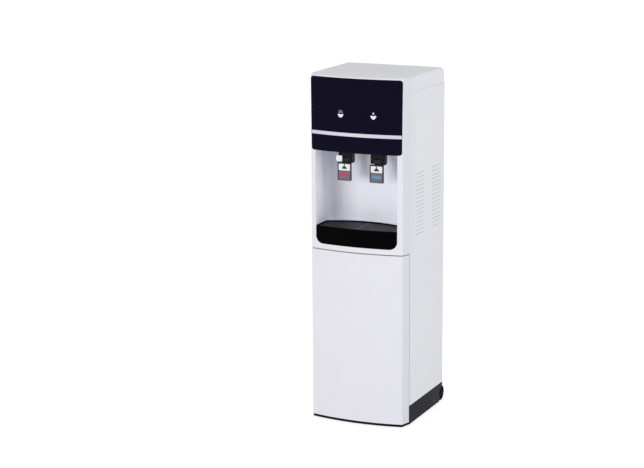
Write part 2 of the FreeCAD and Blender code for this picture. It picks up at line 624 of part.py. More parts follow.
def door_panel():
    outside = front_slab(0, DOOR_BACK, DOOR_BOTTOM, DOOR_TOP)
    outside = outside.cut(corner_cutter(CORNER_CLEAR, DOOR_BOTTOM, DOOR_TOP))
    inside = front_slab(WALL, DOOR_BACK + 1, DOOR_BOTTOM + WALL, DOOR_TOP - WALL)
    inside = inside.cut(corner_cutter(CORNER_CLEAR - WALL, DOOR_BOTTOM, DOOR_TOP))
    holes = [rod(PIN_RADIUS + BUSH_WALL + RUNNING, (HINGE_X, HINGE_Y, z), Z_AXIS, 2 * WALL)
             for z in (DOOR_BOTTOM - WALL, DOOR_TOP - WALL)]
    return outside.cut([inside] + holes)


def door_liner():
    """Dished inner skin; its rim closes the back of the door all round."""
    z0 = DOOR_BOTTOM + WALL
    z1 = DOOR_TOP - WALL
    rim = front_slab(WALL, DOOR_BACK, z0, z1).cut(front_slab(WALL, DOOR_BACK - LINER_WALL, z0 - 1, z1 + 1))
    dish = front_slab(LINER_DEPTH, DOOR_BACK, RIM_TOP - LINER_WALL, z1 - LINER_DEPTH)
    hollow = front_slab(LINER_DEPTH + LINER_WALL, DOOR_BACK + 1, RIM_TOP, z1 - LINER_DEPTH - LINER_WALL)
    solid = rim.fuse(dish).cut(hollow).cut(corner_cutter(CORNER_CLEAR - WALL, z0, z1))
    bushes = rod(PIN_RADIUS + BUSH_WALL + RUNNING, (HINGE_X, HINGE_Y, z0 - 1), Z_AXIS, z1 - z0 + 2)
    return solid.cut(bushes).removeSplitter()


def door_bushes():
    outer = PIN_RADIUS + RUNNING + BUSH_WALL
    return [ring(outer, PIN_RADIUS + RUNNING, (HINGE_X, HINGE_Y, z), Z_AXIS, BUSH_HEIGHT)
            for z in (DOOR_BOTTOM, DOOR_TOP - BUSH_HEIGHT)]


def door_strikes():
    z = BLOCK_TOP - BLOCK_HEIGHT / 2 - STRIKE_HEIGHT / 2
    return [block(side * BLOCK_X - STRIKE_WIDTH / 2, side * BLOCK_X + STRIKE_WIDTH / 2,
                  DOOR_BACK, DOOR_BACK + STRIKE_THICK, z, z + STRIKE_HEIGHT) for side in (-1, 1)]


save("door_panel", door_panel())
save("door_liner", door_liner())
save("door_bushes", *door_bushes())
save("door_strikes", *door_strikes())

# ---- drip tray and grille ----
TRAY_WALL = 2.2
GRILLE_THICK = 2.5
GRILLE_DROP = 3.0           # grille below the tray's rim
GRILLE_EDGE = 2.6           # tray's outside to the grille's edge
GRILLE_SEAT = 3.0           # width of the step that the grille rests on
GRILLE_SLOT = 3.0
GRILLE_PITCH = 9.0
GRILLE_FRAME = 10.0


def drip_tray():
    """Pan with a step all round inside that the grille rests on."""
    seat_z = TRAY_TOP - GRILLE_DROP - GRILLE_THICK
    outer = rounded_tray(0, TRAY_BOTTOM, TRAY_TOP, 2 * FRONT_Y)
    outer = outer.common(front_slab(0, BIG, TRAY_BOTTOM - 1, TRAY_TOP + 1))
    rim = tray_plan(-TRAY_WALL, seat_z, TRAY_TOP + 1, 2 * FRONT_Y)
    rim = rim.common(front_slab(TRAY_WALL, BIG, seat_z - 1, TRAY_TOP + 2))
    inset = TRAY_WALL + GRILLE_SEAT
    floor_z = TRAY_BOTTOM + TRAY_WALL
    basin = rounded_tray(-inset, floor_z, seat_z + 1, 2 * FRONT_Y)
    basin = basin.common(front_slab(inset, BIG, floor_z - 1, seat_z + 2))
    return outer.cut(rim).cut(basin)


def drip_grille():
    z0 = TRAY_TOP - GRILLE_DROP - GRILLE_THICK
    bowed = front_slab(GRILLE_EDGE, BIG, z0 - 1, z0 + GRILLE_THICK + 1)
    plate = tray_plan(-GRILLE_EDGE, z0, z0 + GRILLE_THICK, FRONT_Y).common(bowed)
    inset = GRILLE_EDGE + GRILLE_FRAME
    field = tray_plan(-inset, z0 - 1, z0 + GRILLE_THICK + 1, FRONT_Y)
    field = field.common(front_slab(inset, BIG, z0 - 2, z0 + GRILLE_THICK + 2))
    count = int((ALCOVE_HALF - inset - GRILLE_SLOT) / GRILLE_PITCH)
    slots = []
    for index in range(-count, count + 1):
        x = index * GRILLE_PITCH
        if index:
            slots.append(block(x - GRILLE_SLOT / 2, x + GRILLE_SLOT / 2, -BIG, BIG, 0, BIG).common(field))
    return plate.cut(slots)


save("drip_tray", drip_tray())
save("drip_grille", drip_grille())

# ---- taps, levers and the hot tap's lock button ----
TAP_WIDTH = 46.0
TAP_DEPTH = 26.0
TAP_BEHIND = 3.0            # tap's head in front of the barrel's middle
TAP_BODY_HEIGHT = 40.0
TAP_CORNER = 4.0
BARREL_DROP = 6.0           # barrel below the head
BARREL_RADIUS = 17.0
SPOUT_RADIUS = 8.0
SPOUT_DROP = 30.0           # spout below the head
SPIGOT = 21.0               # above the alcove's ceiling
WATERWAY = 4.0
LEVER_WIDTH = 45.0
LEVER_THICK = 5.0
LEVER_DROP = 57.0           # lever below the head
LEVER_PIVOT_UP = 10.0       # pivot above the head's lower face
LEVER_PIVOT_IN = 8.0        # pivot behind the head's front
LEVER_PIN = 2.0
LEVER_PIN_INSET = 6.0
LEVER_GAP = 0.5
LEVER_ARM_HALF = 9.5
LEVER_CORNER = 3.0
LABEL_DEPTH = 1.0
LABEL_EDGE = 4.0
LABEL_BAR = 26.0            # height of the coloured lower label
LOCK_WIDTH = 19.0
LOCK_HEIGHT = 17.0
LOCK_PROUD = 6.0
LOCK_TRAVEL = 3.0
LOCK_UP = 9.0               # button's middle above the head's lower face
LOCK_OUT = 2.5              # button past the head's side
LOCK_STEM_HALF = 5.0
LOCK_STEM_RISE = 4.0
LOCK_STEM_IN = 2.0          # stem behind the head's front when it is out
NUT_RADIUS = 14.0
NUT_HEIGHT = 7.0
TAP_FRONT = TAP_Y - TAP_DEPTH - TAP_BEHIND
TAP_BODY_BOTTOM = CEILING - TAP_BODY_HEIGHT
SPOUT_BOTTOM = TAP_BODY_BOTTOM - SPOUT_DROP
LEVER_BOTTOM = TAP_BODY_BOTTOM - LEVER_DROP
LEVER_TOP = TAP_BODY_BOTTOM - 2.0
LEVER_PIVOT_Y = TAP_FRONT + LEVER_PIVOT_IN
LEVER_PIVOT_Z = TAP_BODY_BOTTOM + LEVER_PIVOT_UP
LABEL_SPLIT = LEVER_BOTTOM + LABEL_EDGE + LABEL_BAR
LABEL_TOP = TAP_BODY_BOTTOM - 1.5 * LABEL_EDGE
LOCK_X = -TAP_X - TAP_WIDTH / 2 + LOCK_WIDTH / 2 - LOCK_OUT
LOCK_Z = TAP_BODY_BOTTOM + LOCK_UP
HOT_SIDE = -1
COLD_SIDE = 1


def lever_slot(centre, clear):
    """Room in the tap for the lever's arm, down through the barrel's foot."""
    return block(centre - LEVER_ARM_HALF - clear, centre + LEVER_ARM_HALF + clear, TAP_FRONT - 1,
                 LEVER_PIVOT_Y + 7, TAP_BODY_BOTTOM - BARREL_DROP - 1, LEVER_PIVOT_Z + 6)


def lock_stem(clear, y0, y1):
    """Stem of the lock button, or with clearance its guide."""
    return block(LOCK_X - LOCK_STEM_HALF - clear, LOCK_X + LOCK_STEM_HALF + clear, y0, y1 + clear,
                 LOCK_Z - LOCK_STEM_RISE - clear, LOCK_Z + LOCK_STEM_RISE + clear)


def tap_body(side):
    x = side * TAP_X
    barrel_bottom = TAP_BODY_BOTTOM - BARREL_DROP
    top = CEILING + WALL + SPIGOT - 1
    head = rounded_block(x - TAP_WIDTH / 2, x + TAP_WIDTH / 2, TAP_FRONT, TAP_FRONT + TAP_DEPTH,
                         TAP_BODY_BOTTOM, CEILING, TAP_CORNER, Z_AXIS)
    barrel = rod(BARREL_RADIUS, (x, TAP_Y, barrel_bottom), Z_AXIS, CEILING - barrel_bottom)
    spout = rod(SPOUT_RADIUS, (x, TAP_Y, SPOUT_BOTTOM), Z_AXIS, TAP_BODY_BOTTOM - SPOUT_BOTTOM)
    spigot = rod(TAP_HOLE_RADIUS, (x, TAP_Y, CEILING - 1), Z_AXIS, top - CEILING + 1)
    solid = join(head, barrel, spout, spigot)
    water = rod(WATERWAY, (x, TAP_Y, SPOUT_BOTTOM - 1), Z_AXIS, top - SPOUT_BOTTOM + 2)
    pin_reach = TAP_WIDTH / 2 - LEVER_PIN_INSET
    pin = rod(LEVER_PIN + RUNNING, (x - pin_reach, LEVER_PIVOT_Y, LEVER_PIVOT_Z), X_AXIS, 2 * pin_reach)
    solid = solid.cut([water, lever_slot(x, LEVER_GAP), pin])
    if side == HOT_SIDE:
        solid = solid.cut(lock_stem(FIT, TAP_FRONT - 1, TAP_FRONT + LOCK_STEM_IN + LOCK_TRAVEL))
    return solid


def lever_plate(side, edge, y0, y1, z0, z1):
    """Block as wide as the lever less an edge."""
    half = LEVER_WIDTH / 2 - edge
    return block(side * TAP_X - half, side * TAP_X + half, y0, y1, z0, z1)


def lever(side):
    """Paddle with its arm and the two stub pins that it swings on."""
    x = side * TAP_X
    front = TAP_FRONT - LEVER_THICK - LEVER_GAP
    plate = round_edges(lever_plate(side, 0, front, front + LEVER_THICK, LEVER_BOTTOM, LEVER_TOP),
                        LEVER_CORNER, lambda edge: along(edge, Y_AXIS))
    arm = block(x - LEVER_ARM_HALF, x + LEVER_ARM_HALF, front + 1, LEVER_PIVOT_Y + LEVER_PIN + 1,
                LEVER_TOP - LEVER_CORNER, LEVER_PIVOT_Z + LEVER_PIN + 1)
    arm = arm.cut(block(x - BIG, x + BIG, -BIG, TAP_FRONT + LEVER_GAP, LEVER_TOP, BIG))
    reach = TAP_WIDTH / 2 - LEVER_PIN_INSET - LEVER_GAP
    pin = rod(LEVER_PIN, (x - reach, LEVER_PIVOT_Y, LEVER_PIVOT_Z), X_AXIS, 2 * reach)
    recess = lever_plate(side, LABEL_EDGE, front - 1, front + LABEL_DEPTH,
                         LEVER_BOTTOM + LABEL_EDGE, LABEL_TOP)
    return join(plate, arm, pin).cut(recess)


def lever_label(side):
    """Coloured bar below and the symbol's field above, let into the lever."""
    front = TAP_FRONT - LEVER_THICK - LEVER_GAP
    return [lever_plate(side, LABEL_EDGE, front, front + LABEL_DEPTH, z0, z1)
            for z0, z1 in ((LEVER_BOTTOM + LABEL_EDGE, LABEL_SPLIT), (LABEL_SPLIT + 1, LABEL_TOP))]


def lock_button():
    """Square cap that stands off the tap, on a stem that slides in its guide."""
    cap_back = TAP_FRONT - LOCK_TRAVEL - LEVER_GAP
    z = LOCK_Z + 2
    cap = rounded_block(LOCK_X - LOCK_WIDTH / 2, LOCK_X + LOCK_WIDTH / 2, cap_back - LOCK_PROUD + 1,
                        cap_back, z - LOCK_HEIGHT / 2, z + LOCK_HEIGHT / 2, 2.0, Y_AXIS)
    return join(cap, lock_stem(0, cap_back - 1, TAP_FRONT + LOCK_STEM_IN))


def tap_nut(side):
    """Hexagon nut that clamps the tap to the alcove's ceiling."""
    z0 = CEILING + WALL
    corners = []
    for step in range(6):
        angle = math.radians(60 * step)
        corners.append(Vector(side * TAP_X + NUT_RADIUS * math.cos(angle),
                              TAP_Y + NUT_RADIUS * math.sin(angle), z0))
    nut = Part.Face(Part.makePolygon(corners + corners[:1])).extrude(Vector(0, 0, NUT_HEIGHT))
    return nut.cut(rod(TAP_HOLE_RADIUS, (side * TAP_X, TAP_Y, z0 - 1), Z_AXIS, NUT_HEIGHT + 2))


save("hot_tap", tap_body(HOT_SIDE))
save("cold_tap", tap_body(COLD_SIDE))
save("hot_lever", lever(HOT_SIDE))
save("cold_lever", lever(COLD_SIDE))
save("lock_button", lock_button())
save("tap_nuts", tap_nut(HOT_SIDE), tap_nut(COLD_SIDE))
save("hot_lever_label", *lever_label(HOT_SIDE))
save("cold_lever_label", *lever_label(COLD_SIDE))

# ---- bottle bay: linings, deck, bottle, probe and hose ----
LINING = 2.0
LINING_SIDE = 10.0          # from the cabinet's side to the lining
RIB_Y = (-40.0, 60.0)
RIB_BELOW = 30.0
RIB_ABOVE = 40.0
DECK_NOTCH = (-140.0, -104.0, 16.0)
DECK_DROP = 9.8             # deck's top below the alcove's floor
DECK_FRONT = ALCOVE_BACK + WALL + 2.0
BOTTLE_GAP = 15.0           # bottle to lining
BOTTLE_SWING = 22.55        # bottle to door and back panel
BOTTLE_HEADROOM = 52.0      # bottle's mouth to the deck
BOTTLE_SET = 3.95           # bottle behind the bay's middle
BOTTLE_WALL = 1.6
RING_GROOVE = 2.5
BAND_GROOVE = 8.0
SHOULDER_HEIGHT = 53.0      # from the shoulder's foot to the neck
NECK_RADIUS = 27.5
CAP_RADIUS = 33.0
CAP_HEIGHT = 40.0
DOME_RADIUS = 36.0
DOME_HEIGHT = 32.0
NECK_HEIGHT = 89.0
PROBE_RADIUS = 5.0
HOSE_RADIUS = 4.5
BARB_Z = 16.0               # hose above the dome's foot
BARB_X = 56.0
PROBE_FOOT = 30.0           # suction tube above the bottle's base
BULKHEAD_X = -122.0
BULKHEAD_IN = 25.5          # behind the deck's front edge
BULKHEAD_DROP = 10.0
BULKHEAD_RISE = 20.0
FITTING_RADIUS = 4.0
FLANGE_RADIUS = 9.0
DECK_TOP = TRAY_TOP - DECK_DROP
LINING_X = SIDE_X - LINING_SIDE
INNER_X = SIDE_X - SHEET - FIT
BULKHEAD = (BULKHEAD_X, DECK_FRONT + BULKHEAD_IN)
PANEL_FRONT = BACK_Y - 2 * SHEET
BAY_FRONT = FRONT_Y + LINER_DEPTH + LINER_WALL
BOTTLE_Y = (BAY_FRONT + PANEL_FRONT) / 2 + BOTTLE_SET
BOTTLE_RADIUS = min(LINING_X - BOTTLE_GAP, (PANEL_FRONT - BAY_FRONT) / 2 - BOTTLE_SWING)
NECK_TOP = DECK_TOP - SHEET - FLOOR_TOP - BOTTLE_HEADROOM    # heights on the bottle are from its base
NECK_BOTTOM = NECK_TOP - NECK_HEIGHT
DOME_BOTTOM = FLOOR_TOP + NECK_TOP + LINING


def bay_lining():
    """Right lining: a standing sheet with a front flange that reaches the side panel."""
    y0 = SEAM_Y + SHEET + FIT
    y1 = BACK_Y - BASE_WALL - FIT
    sheet = block(LINING_X, LINING_X + LINING, y0, y1, FLOOR_TOP, DECK_TOP - SHEET)
    front = block(LINING_X, INNER_X, y0, y0 + LINING, SKIRT_TOP + FIT, HOUSING_BOTTOM - FIT)
    sheet = sheet.cut(block(0, BIG, y0 - 1, TRAY_BACK + 2 * WALL, HOUSING_BOTTOM - FIT, BIG))
    ribs = [block(LINING_X + LINING / 2, INNER_X, y, y + LINING, FLOOR_TOP + RIB_BELOW, DECK_TOP - RIB_ABOVE)
            for y in RIB_Y]
    return join(sheet, front, *ribs)


def middle_deck(holes):
    half = LINING_X + LINING + 1
    plate = block(-half, half, DECK_FRONT, PANEL_FRONT, DECK_TOP - SHEET, DECK_TOP)
    notch_left, notch_right, notch_depth = DECK_NOTCH
    notch = block(notch_left, notch_right, PANEL_FRONT - notch_depth, PANEL_FRONT + 1, 0, BIG)
    return plate.cut([notch] + holes)


def bottle_outline(inset):
    """Half outline of the bottle, inset from its outside, as (radius, height) points."""
    r = BOTTLE_RADIUS - inset
    base = BOTTLE_RADIUS
    side = r - 1
    shoulder_z = NECK_BOTTOM - SHOULDER_HEIGHT
    body_top = shoulder_z - 152
    ring_pitch = (body_top - 40) / 4
    points = [(0, 22 + inset), (base - 65, 20 + inset), (base - 35, inset), (base - 17 - inset, inset),
              (r - 3, 14), (side, 26)]
    for number in (1, 2, 3):
        z = 26 + number * ring_pitch
        points += [(side, z), (side - RING_GROOVE, z + 5), (side - RING_GROOVE, z + 9), (side, z + 14)]
    band = r - BAND_GROOVE
    points += [(side, body_top), (r, body_top + 6), (r, body_top + 36), (r - 3, body_top + 41),
               (r - 3, body_top + 49), (band, body_top + 57), (band, shoulder_z - 47), (r, shoulder_z - 39)]
    for step in range(7):
        angle = math.radians(11 * step)
        points.append((r - 52 * (1 - math.cos(angle)),
                       shoulder_z + (SHOULDER_HEIGHT - 16) * math.sin(angle)))
    points += [(r - 48, NECK_BOTTOM - 12), (base - 73, NECK_BOTTOM - 3),
               (NECK_RADIUS + 6 - inset, NECK_BOTTOM + inset), (NECK_RADIUS - inset, NECK_BOTTOM + 8)]
    top = NECK_TOP if inset == 0 else NECK_TOP + 1
    points += [(NECK_RADIUS - inset, top), (0, top)]
    return points


def bottle():
    shell = turned(bottle_outline(0)).cut(turned(bottle_outline(BOTTLE_WALL)))
    return shell.translate(Vector(0, BOTTLE_Y, FLOOR_TOP))


def bottle_cap():
    z1 = NECK_TOP
    z0 = z1 - CAP_HEIGHT
    outline = [(PROBE_RADIUS + 1, z1), (NECK_RADIUS + 0.3, z1), (NECK_RADIUS + 0.3, z0),
               (CAP_RADIUS, z0), (CAP_RADIUS, z1 + LINING - 1), (CAP_RADIUS - 1, z1 + LINING),
               (PROBE_RADIUS + 1, z1 + LINING)]
    return turned(outline).translate(Vector(0, BOTTLE_Y, FLOOR_TOP))


def bottle_probe():
    """White domed collar with its hose barb and the suction tube that stands in the bottle."""
    foot = DOME_BOTTOM - FLOOR_TOP
    dome = [(0, foot), (DOME_RADIUS, foot), (DOME_RADIUS, foot + 8)]
    for step in range(1, 8):
        angle = math.radians(90 * step / 8)
        dome.append((DOME_RADIUS * math.cos(angle), foot + 8 + (DOME_HEIGHT - 8) * math.sin(angle)))
    dome.append((0, foot + DOME_HEIGHT))
    tube = rod(PROBE_RADIUS, (0, 0, PROBE_FOOT), Z_AXIS, foot - PROBE_FOOT + 2)
    barb = rod(HOSE_RADIUS, (20, 0, foot + BARB_Z), X_AXIS, BARB_X - 20)
    return join(turned(dome), tube, barb).translate(Vector(0, BOTTLE_Y, FLOOR_TOP))


def hose_bulkhead():
    x, y = BULKHEAD
    flange_z = DECK_TOP - SHEET
    return join(rod(FITTING_RADIUS, (x, y, flange_z - BULKHEAD_DROP), Z_AXIS,
                    BULKHEAD_DROP + SHEET + BULKHEAD_RISE),
                rod(FLANGE_RADIUS, (x, y, flange_z - 4), Z_AXIS, 4),
                rod(FLANGE_RADIUS, (x, y, DECK_TOP), Z_AXIS, 6))


# The hose hangs from the bulkhead beside the neck, goes round in front of the
# bottle's shoulder, up the other side and back to the collar.
HOSE_ROUTE = [(-122, -20, 596), (-122, -20, 556), (-121, -50, 506), (-110, -92, 452), (-82, -128, 408),
              (-40, -148, 383), (8, -153, 377), (52, -144, 388), (88, -122, 418), (107, -88, 462),
              (112, -50, 508), (106, -20, 545), (88, -4, 572), (56, -4, 572)]
hose_start = (BULKHEAD[0], BULKHEAD[1], DECK_TOP - SHEET - BULKHEAD_DROP)
hose_end = (BARB_X, BOTTLE_Y, DOME_BOTTOM + BARB_Z)
feed_hose, hose_radii = bent_tube([hose_start] + HOSE_ROUTE[1:-1] + [hose_end], HOSE_RADIUS)
print("hose bend radii:", [round(radius) for radius in hose_radii])
print("hose length:", round(feed_hose.Volume / (math.pi * HOSE_RADIUS ** 2)))

save("bay_linings", bay_lining(), mirrored(bay_lining()))
save("middle_deck", middle_deck([rod(FITTING_RADIUS, BULKHEAD + (0,), Z_AXIS, BIG)]))
save("bottle", bottle())
save("bottle_cap", bottle_cap())
save("bottle_probe", bottle_probe())
save("hose_bulkhead", hose_bulkhead())
save("feed_hose", feed_hose)

# ---- cooling circuit ----
COMPRESSOR_SIDE = 86.5      # from the inside of the side panel
COMPRESSOR_BACK = 91.6      # from the back panel
COMPRESSOR_RADIUS = 58.0
COMPRESSOR_HEIGHT = 136.0
GROMMET_HEIGHT = 12.0
STUB_OFFSETS = (22.0, -23.0)    # discharge and suction stubs, from its middle
MOUNT_PLATE = (62.0, 48.0, 2.5, 12.0)
MOUNT_HOLES = (50.0, 37.0)
STUB_TOP = 165.0            # above the deck
LINE_RADIUS = 3.0
CAPILLARY_RADIUS = 1.5
COIL_RADIUS = 2.5
COIL_STAND = 13.0           # coil behind the sheet metal
COIL_ABOVE = 32.8           # top row above the deck
COIL_ROWS = 20
COIL_PITCH = 26.0
COIL_HALF = 95.0
WIRE_RADIUS = 0.8
WIRE_COUNT = 11
WIRE_INSET = 12.0
WIRE_PAST = 6.0             # wire's ends past the first and last rows
TAB_X = 70.0
DRIER_X = -110.0
DRIER_BACK = 29.6
DRIER_RADIUS = 9.0
DRIER_BOTTOM = 190.0
DRIER_LENGTH = 100.0
SHELF_Z = CEILING + 4.0
TANK_SIDE = 14.8            # foam to the side panel
TANK_BACK = 15.9            # foam to the back panel
TANK_RADIUS = 59.7
TANK_WALL = 1.2
TANK_LID = 4.0
TANK_FLANGE = 14.0
TANK_PORTS = ((42.0, -32.0), (0.0, -50.0), (42.0, 30.0))
PORT_BORE = 2.6
SHELF_SKIRT = 14.0
SHELF_NOTCH = (-134.0, -84.0, 11.0)
TANK_HEIGHT = 140.0
FOAM = 22.0
EVAPORATOR_TURNS = 12
PANEL_BACK = PANEL_FRONT + SHEET
COMPRESSOR = (-INNER_X + COMPRESSOR_SIDE, PANEL_FRONT - COMPRESSOR_BACK)
STUB_X = tuple(COMPRESSOR[0] + offset for offset in STUB_OFFSETS)
COIL_Y = BACK_Y + COIL_STAND
COIL_TOP = DECK_TOP + COIL_ABOVE
COIL_BOTTOM = COIL_TOP - COIL_PITCH * (COIL_ROWS - 1)
DRIER = (DRIER_X, PANEL_FRONT - DRIER_BACK)
TANK = (-INNER_X + TANK_SIDE + FOAM + TANK_RADIUS, PANEL_FRONT - TANK_BACK - FOAM - TANK_RADIUS)
COIL_INLET_X = -60.0
SHELF_TOP = SHELF_Z + SHEET
FOAM_TOP = SHELF_TOP + FOAM - 5 + TANK_HEIGHT


def compressor():
    x, y = COMPRESSOR
    plate_z = GROMMET_HEIGHT
    r = COMPRESSOR_RADIUS
    top = plate_z + COMPRESSOR_HEIGHT
    half = plate_z + COMPRESSOR_HEIGHT / 2
    outline = [(0, plate_z + 1), (r - 22, plate_z + 1), (r - 3, plate_z + 22), (r - 2, half - 4),
               (r + 1, half - 4), (r + 1, half + 4), (r - 2, half + 4), (r - 4, top - 34),
               (r - 18, top - 12), (r - 36, top), (0, top)]
    half_x, half_y, thick, corner = MOUNT_PLATE
    plate = rounded_block(-half_x, half_x, -half_y, half_y, plate_z, plate_z + thick, corner, Z_AXIS)
    stubs = [rod(LINE_RADIUS + 1, (offset, 0, top - 30), Z_AXIS, STUB_TOP - top + 30)
             for offset in STUB_OFFSETS]
    return join(turned(outline), plate, *stubs).translate(Vector(x, y, DECK_TOP))


def compressor_grommets():
    x, y = COMPRESSOR
    dx, dy = MOUNT_HOLES
    return [ring(9.0, 3.0, (x + side * dx, y + end * dy, DECK_TOP), Z_AXIS, GROMMET_HEIGHT)
            for side in (-1, 1) for end in (-1, 1)]


def condenser():
    """Serpentine tube behind the back panel."""
    route = [(COIL_INLET_X, PANEL_FRONT - 2, COIL_TOP), (COIL_INLET_X, COIL_Y, COIL_TOP)]
    side = 1
    for row in range(COIL_ROWS):
        z = COIL_TOP - row * COIL_PITCH
        if row:
            route.append((-side * COIL_HALF, COIL_Y, z))
        route.append((side * COIL_HALF, COIL_Y, z))
        side = -side
    route[-1] = (DRIER[0], COIL_Y, COIL_BOTTOM)
    route.append((DRIER[0], PANEL_FRONT - 2, COIL_BOTTOM))
    coil, _ = bent_tube(route, COIL_RADIUS)
    return coil


def condenser_wires():
    """Upright wires welded to the outside of the tube's rows."""
    reach = COIL_HALF - WIRE_INSET
    gap = 2 * reach / (WIRE_COUNT - 1)
    return [rod(WIRE_RADIUS, (-reach + index * gap, COIL_Y + COIL_RADIUS + WIRE_RADIUS,
                              COIL_BOTTOM - WIRE_PAST), Z_AXIS, COIL_TOP - COIL_BOTTOM + 2 * WIRE_PAST)
            for index in range(WIRE_COUNT)]


def coil_tabs():
    """Tabs of the back panel that hold the condenser off it."""
    tabs = []
    for row in (1, COIL_ROWS - 2):
        z = COIL_TOP - row * COIL_PITCH
        for x in (-TAB_X, TAB_X):
            tabs.append(block(x - 5, x + 5, PANEL_FRONT, COIL_Y - COIL_RADIUS, z - 1, z + 1))
    return tabs


def filter_drier():
    r = DRIER_RADIUS
    outline = [(0, 0), (LINE_RADIUS, 0), (LINE_RADIUS, 8), (r, 16), (r, DRIER_LENGTH - 16),
               (LINE_RADIUS, DRIER_LENGTH - 8), (LINE_RADIUS, DRIER_LENGTH), (0, DRIER_LENGTH)]
    return turned(outline).translate(Vector(DRIER[0], DRIER[1], DRIER_BOTTOM))


def refrigerant_lines():
    """Discharge, suction, liquid and capillary lines."""
    y = COMPRESSOR[1]
    z = DECK_TOP + STUB_TOP
    rear = PANEL_FRONT - 6.6
    foam_rear = TANK[1] + TANK_RADIUS + FOAM
    drier_top = DRIER_BOTTOM + DRIER_LENGTH
    capillary_x = DRIER[0] - 15
    routes = [
        ([(STUB_X[0], y, z), (STUB_X[0], y, z + 30), (STUB_X[0], rear - 12, z + 30),
          (COIL_INLET_X, rear - 14, COIL_TOP), (COIL_INLET_X, PANEL_FRONT - 2, COIL_TOP)], LINE_RADIUS),
        ([(STUB_X[1], y, z), (STUB_X[1], y, z + 34), (STUB_X[1], rear, z + 34),
          (STUB_X[1], rear, SHELF_TOP + 68), (STUB_X[1], foam_rear, SHELF_TOP + 68)], LINE_RADIUS),
        ([(DRIER[0], PANEL_FRONT - 2, COIL_BOTTOM), (DRIER[0], DRIER[1], COIL_BOTTOM),
          (DRIER[0], DRIER[1], DRIER_BOTTOM)], LINE_RADIUS),
        ([(DRIER[0], DRIER[1], drier_top), (DRIER[0], DRIER[1], drier_top + 30),
          (capillary_x, rear, drier_top + 80), (capillary_x, rear, SHELF_TOP + 90),
          (capillary_x, foam_rear, SHELF_TOP + 90)], CAPILLARY_RADIUS)]
    return [bent_tube(points, radius)[0] for points, radius in routes]


def tank_shelf():
    plate = block(-INNER_X, INNER_X, DECK_FRONT, PANEL_FRONT, SHELF_Z, SHELF_TOP)
    skirt = block(INNER_X - SHEET, INNER_X, DECK_FRONT, PANEL_FRONT, SHELF_Z - SHELF_SKIRT, SHELF_TOP)
    notch_left, notch_right, notch_depth = SHELF_NOTCH
    notch = block(notch_left, notch_right, PANEL_FRONT - notch_depth, PANEL_FRONT + 1,
                  SHELF_Z - 1, SHELF_TOP + 1)
    return join(plate, skirt, mirrored(skirt)).cut(notch)


def cold_tank():
    """Steel cylinder with a flanged lid, and a port in the lid for each water line."""
    x, y = TANK
    foot = FOAM_TOP - TANK_HEIGHT
    body = rod(TANK_RADIUS, (x, y, foot), Z_AXIS, TANK_HEIGHT)
    lid = rod(TANK_RADIUS + TANK_FLANGE, (x, y, FOAM_TOP), Z_AXIS, TANK_LID)
    room = rod(TANK_RADIUS - TANK_WALL, (x, y, foot + TANK_WALL), Z_AXIS, TANK_HEIGHT - TANK_WALL)
    ports = [rod(PORT_BORE, (x + dx, y + dy, FOAM_TOP - 1), Z_AXIS, TANK_LID + 2) for dx, dy in TANK_PORTS]
    return join(body, lid).cut([room] + ports)


def tank_insulation():
    x, y = TANK
    half = TANK_RADIUS + FOAM
    foam = rounded_block(x - half, x + half, y - half, y + half, SHELF_TOP, FOAM_TOP, 14, Z_AXIS)
    bore = TANK_RADIUS + 2 * LINE_RADIUS + 2 * FIT
    cavity = rod(bore, (x, y, FOAM_TOP - TANK_HEIGHT), Z_AXIS, TANK_HEIGHT + 1)
    return foam.cut(cavity)


def evaporator_coil():
    """Close wound turns round the tank; each turn is brazed to the next."""
    x, y = TANK
    pitch = 2 * LINE_RADIUS - 0.4
    z0 = FOAM_TOP - TANK_HEIGHT + 8 + LINE_RADIUS
    turns = [Part.makeTorus(TANK_RADIUS + LINE_RADIUS + FIT, LINE_RADIUS, Vector(x, y, z0 + index * pitch))
             for index in range(EVAPORATOR_TURNS)]
    return join(*turns)


save("compressor", compressor())
save("compressor_grommets", *compressor_grommets())
save("condenser", condenser())
save("condenser_wires", *condenser_wires())
save("filter_drier", filter_drier())
save("refrigerant_lines", *refrigerant_lines())
save("cold_tank", cold_tank())
save("tank_insulation", tank_insulation())
save("evaporator_coil", evaporator_coil())

# ---- hot tank, pump, water lines ----
HOT_SIDE_GAP = 26.5         # hot tank to the side panel
HOT_BACK_GAP = 37.6         # hot tank to the back panel
HOT_RADIUS = 50.0
HOT_WALL = 1.5
HOT_HEIGHT = 150.0
HEATER_UP = 20.0
HEATER_HEIGHT = 40.0
HEATER_THICK = 4.0
DRAIN_OFFSET = 18.0
DRAIN_RADIUS = 6.0
DRAIN_BORE = 4.5
DRAIN_DROP = 22.0
DRAIN_PAST = 12.0           # pipe's end behind the sheet metal
CAP_DEPTH = 11.0
CAP_WALL = 3.0
PUMP_BACK = 89.6            # pump body's rear to the back panel
PUMP_SIZE = (52.0, 48.0, 44.0)
PUMP_LEFT = 60.0
PUMP_PORT_IN = 10.0
MOTOR_LENGTH = 34.0
PORT_RADIUS = 4.0
PORT_LENGTH = 10.0
HOT_TANK = (INNER_X - HOT_SIDE_GAP - HOT_RADIUS, PANEL_FRONT - HOT_BACK_GAP - HOT_RADIUS)
HOT_BOTTOM = SHELF_Z - HOT_HEIGHT
DRAIN_X = HOT_TANK[0] + DRAIN_OFFSET
DRAIN_Z = HOT_BOTTOM - DRAIN_DROP
DRAIN_END = BACK_Y + DRAIN_PAST
FEED_X = HOT_TANK[0] - 22.0
HOT_PORT_Z = SHELF_Z - 30.0
PUMP_Y1 = PANEL_FRONT - PUMP_BACK
PUMP_Y0 = PUMP_Y1 - PUMP_SIZE[1]
RISER_Y = DECK_FRONT + 21.5     # water lines that rise in front of the tanks
DOWN_X = 30.0                   # feed line between the tanks
DOWN_Y = PANEL_FRONT - 15.6


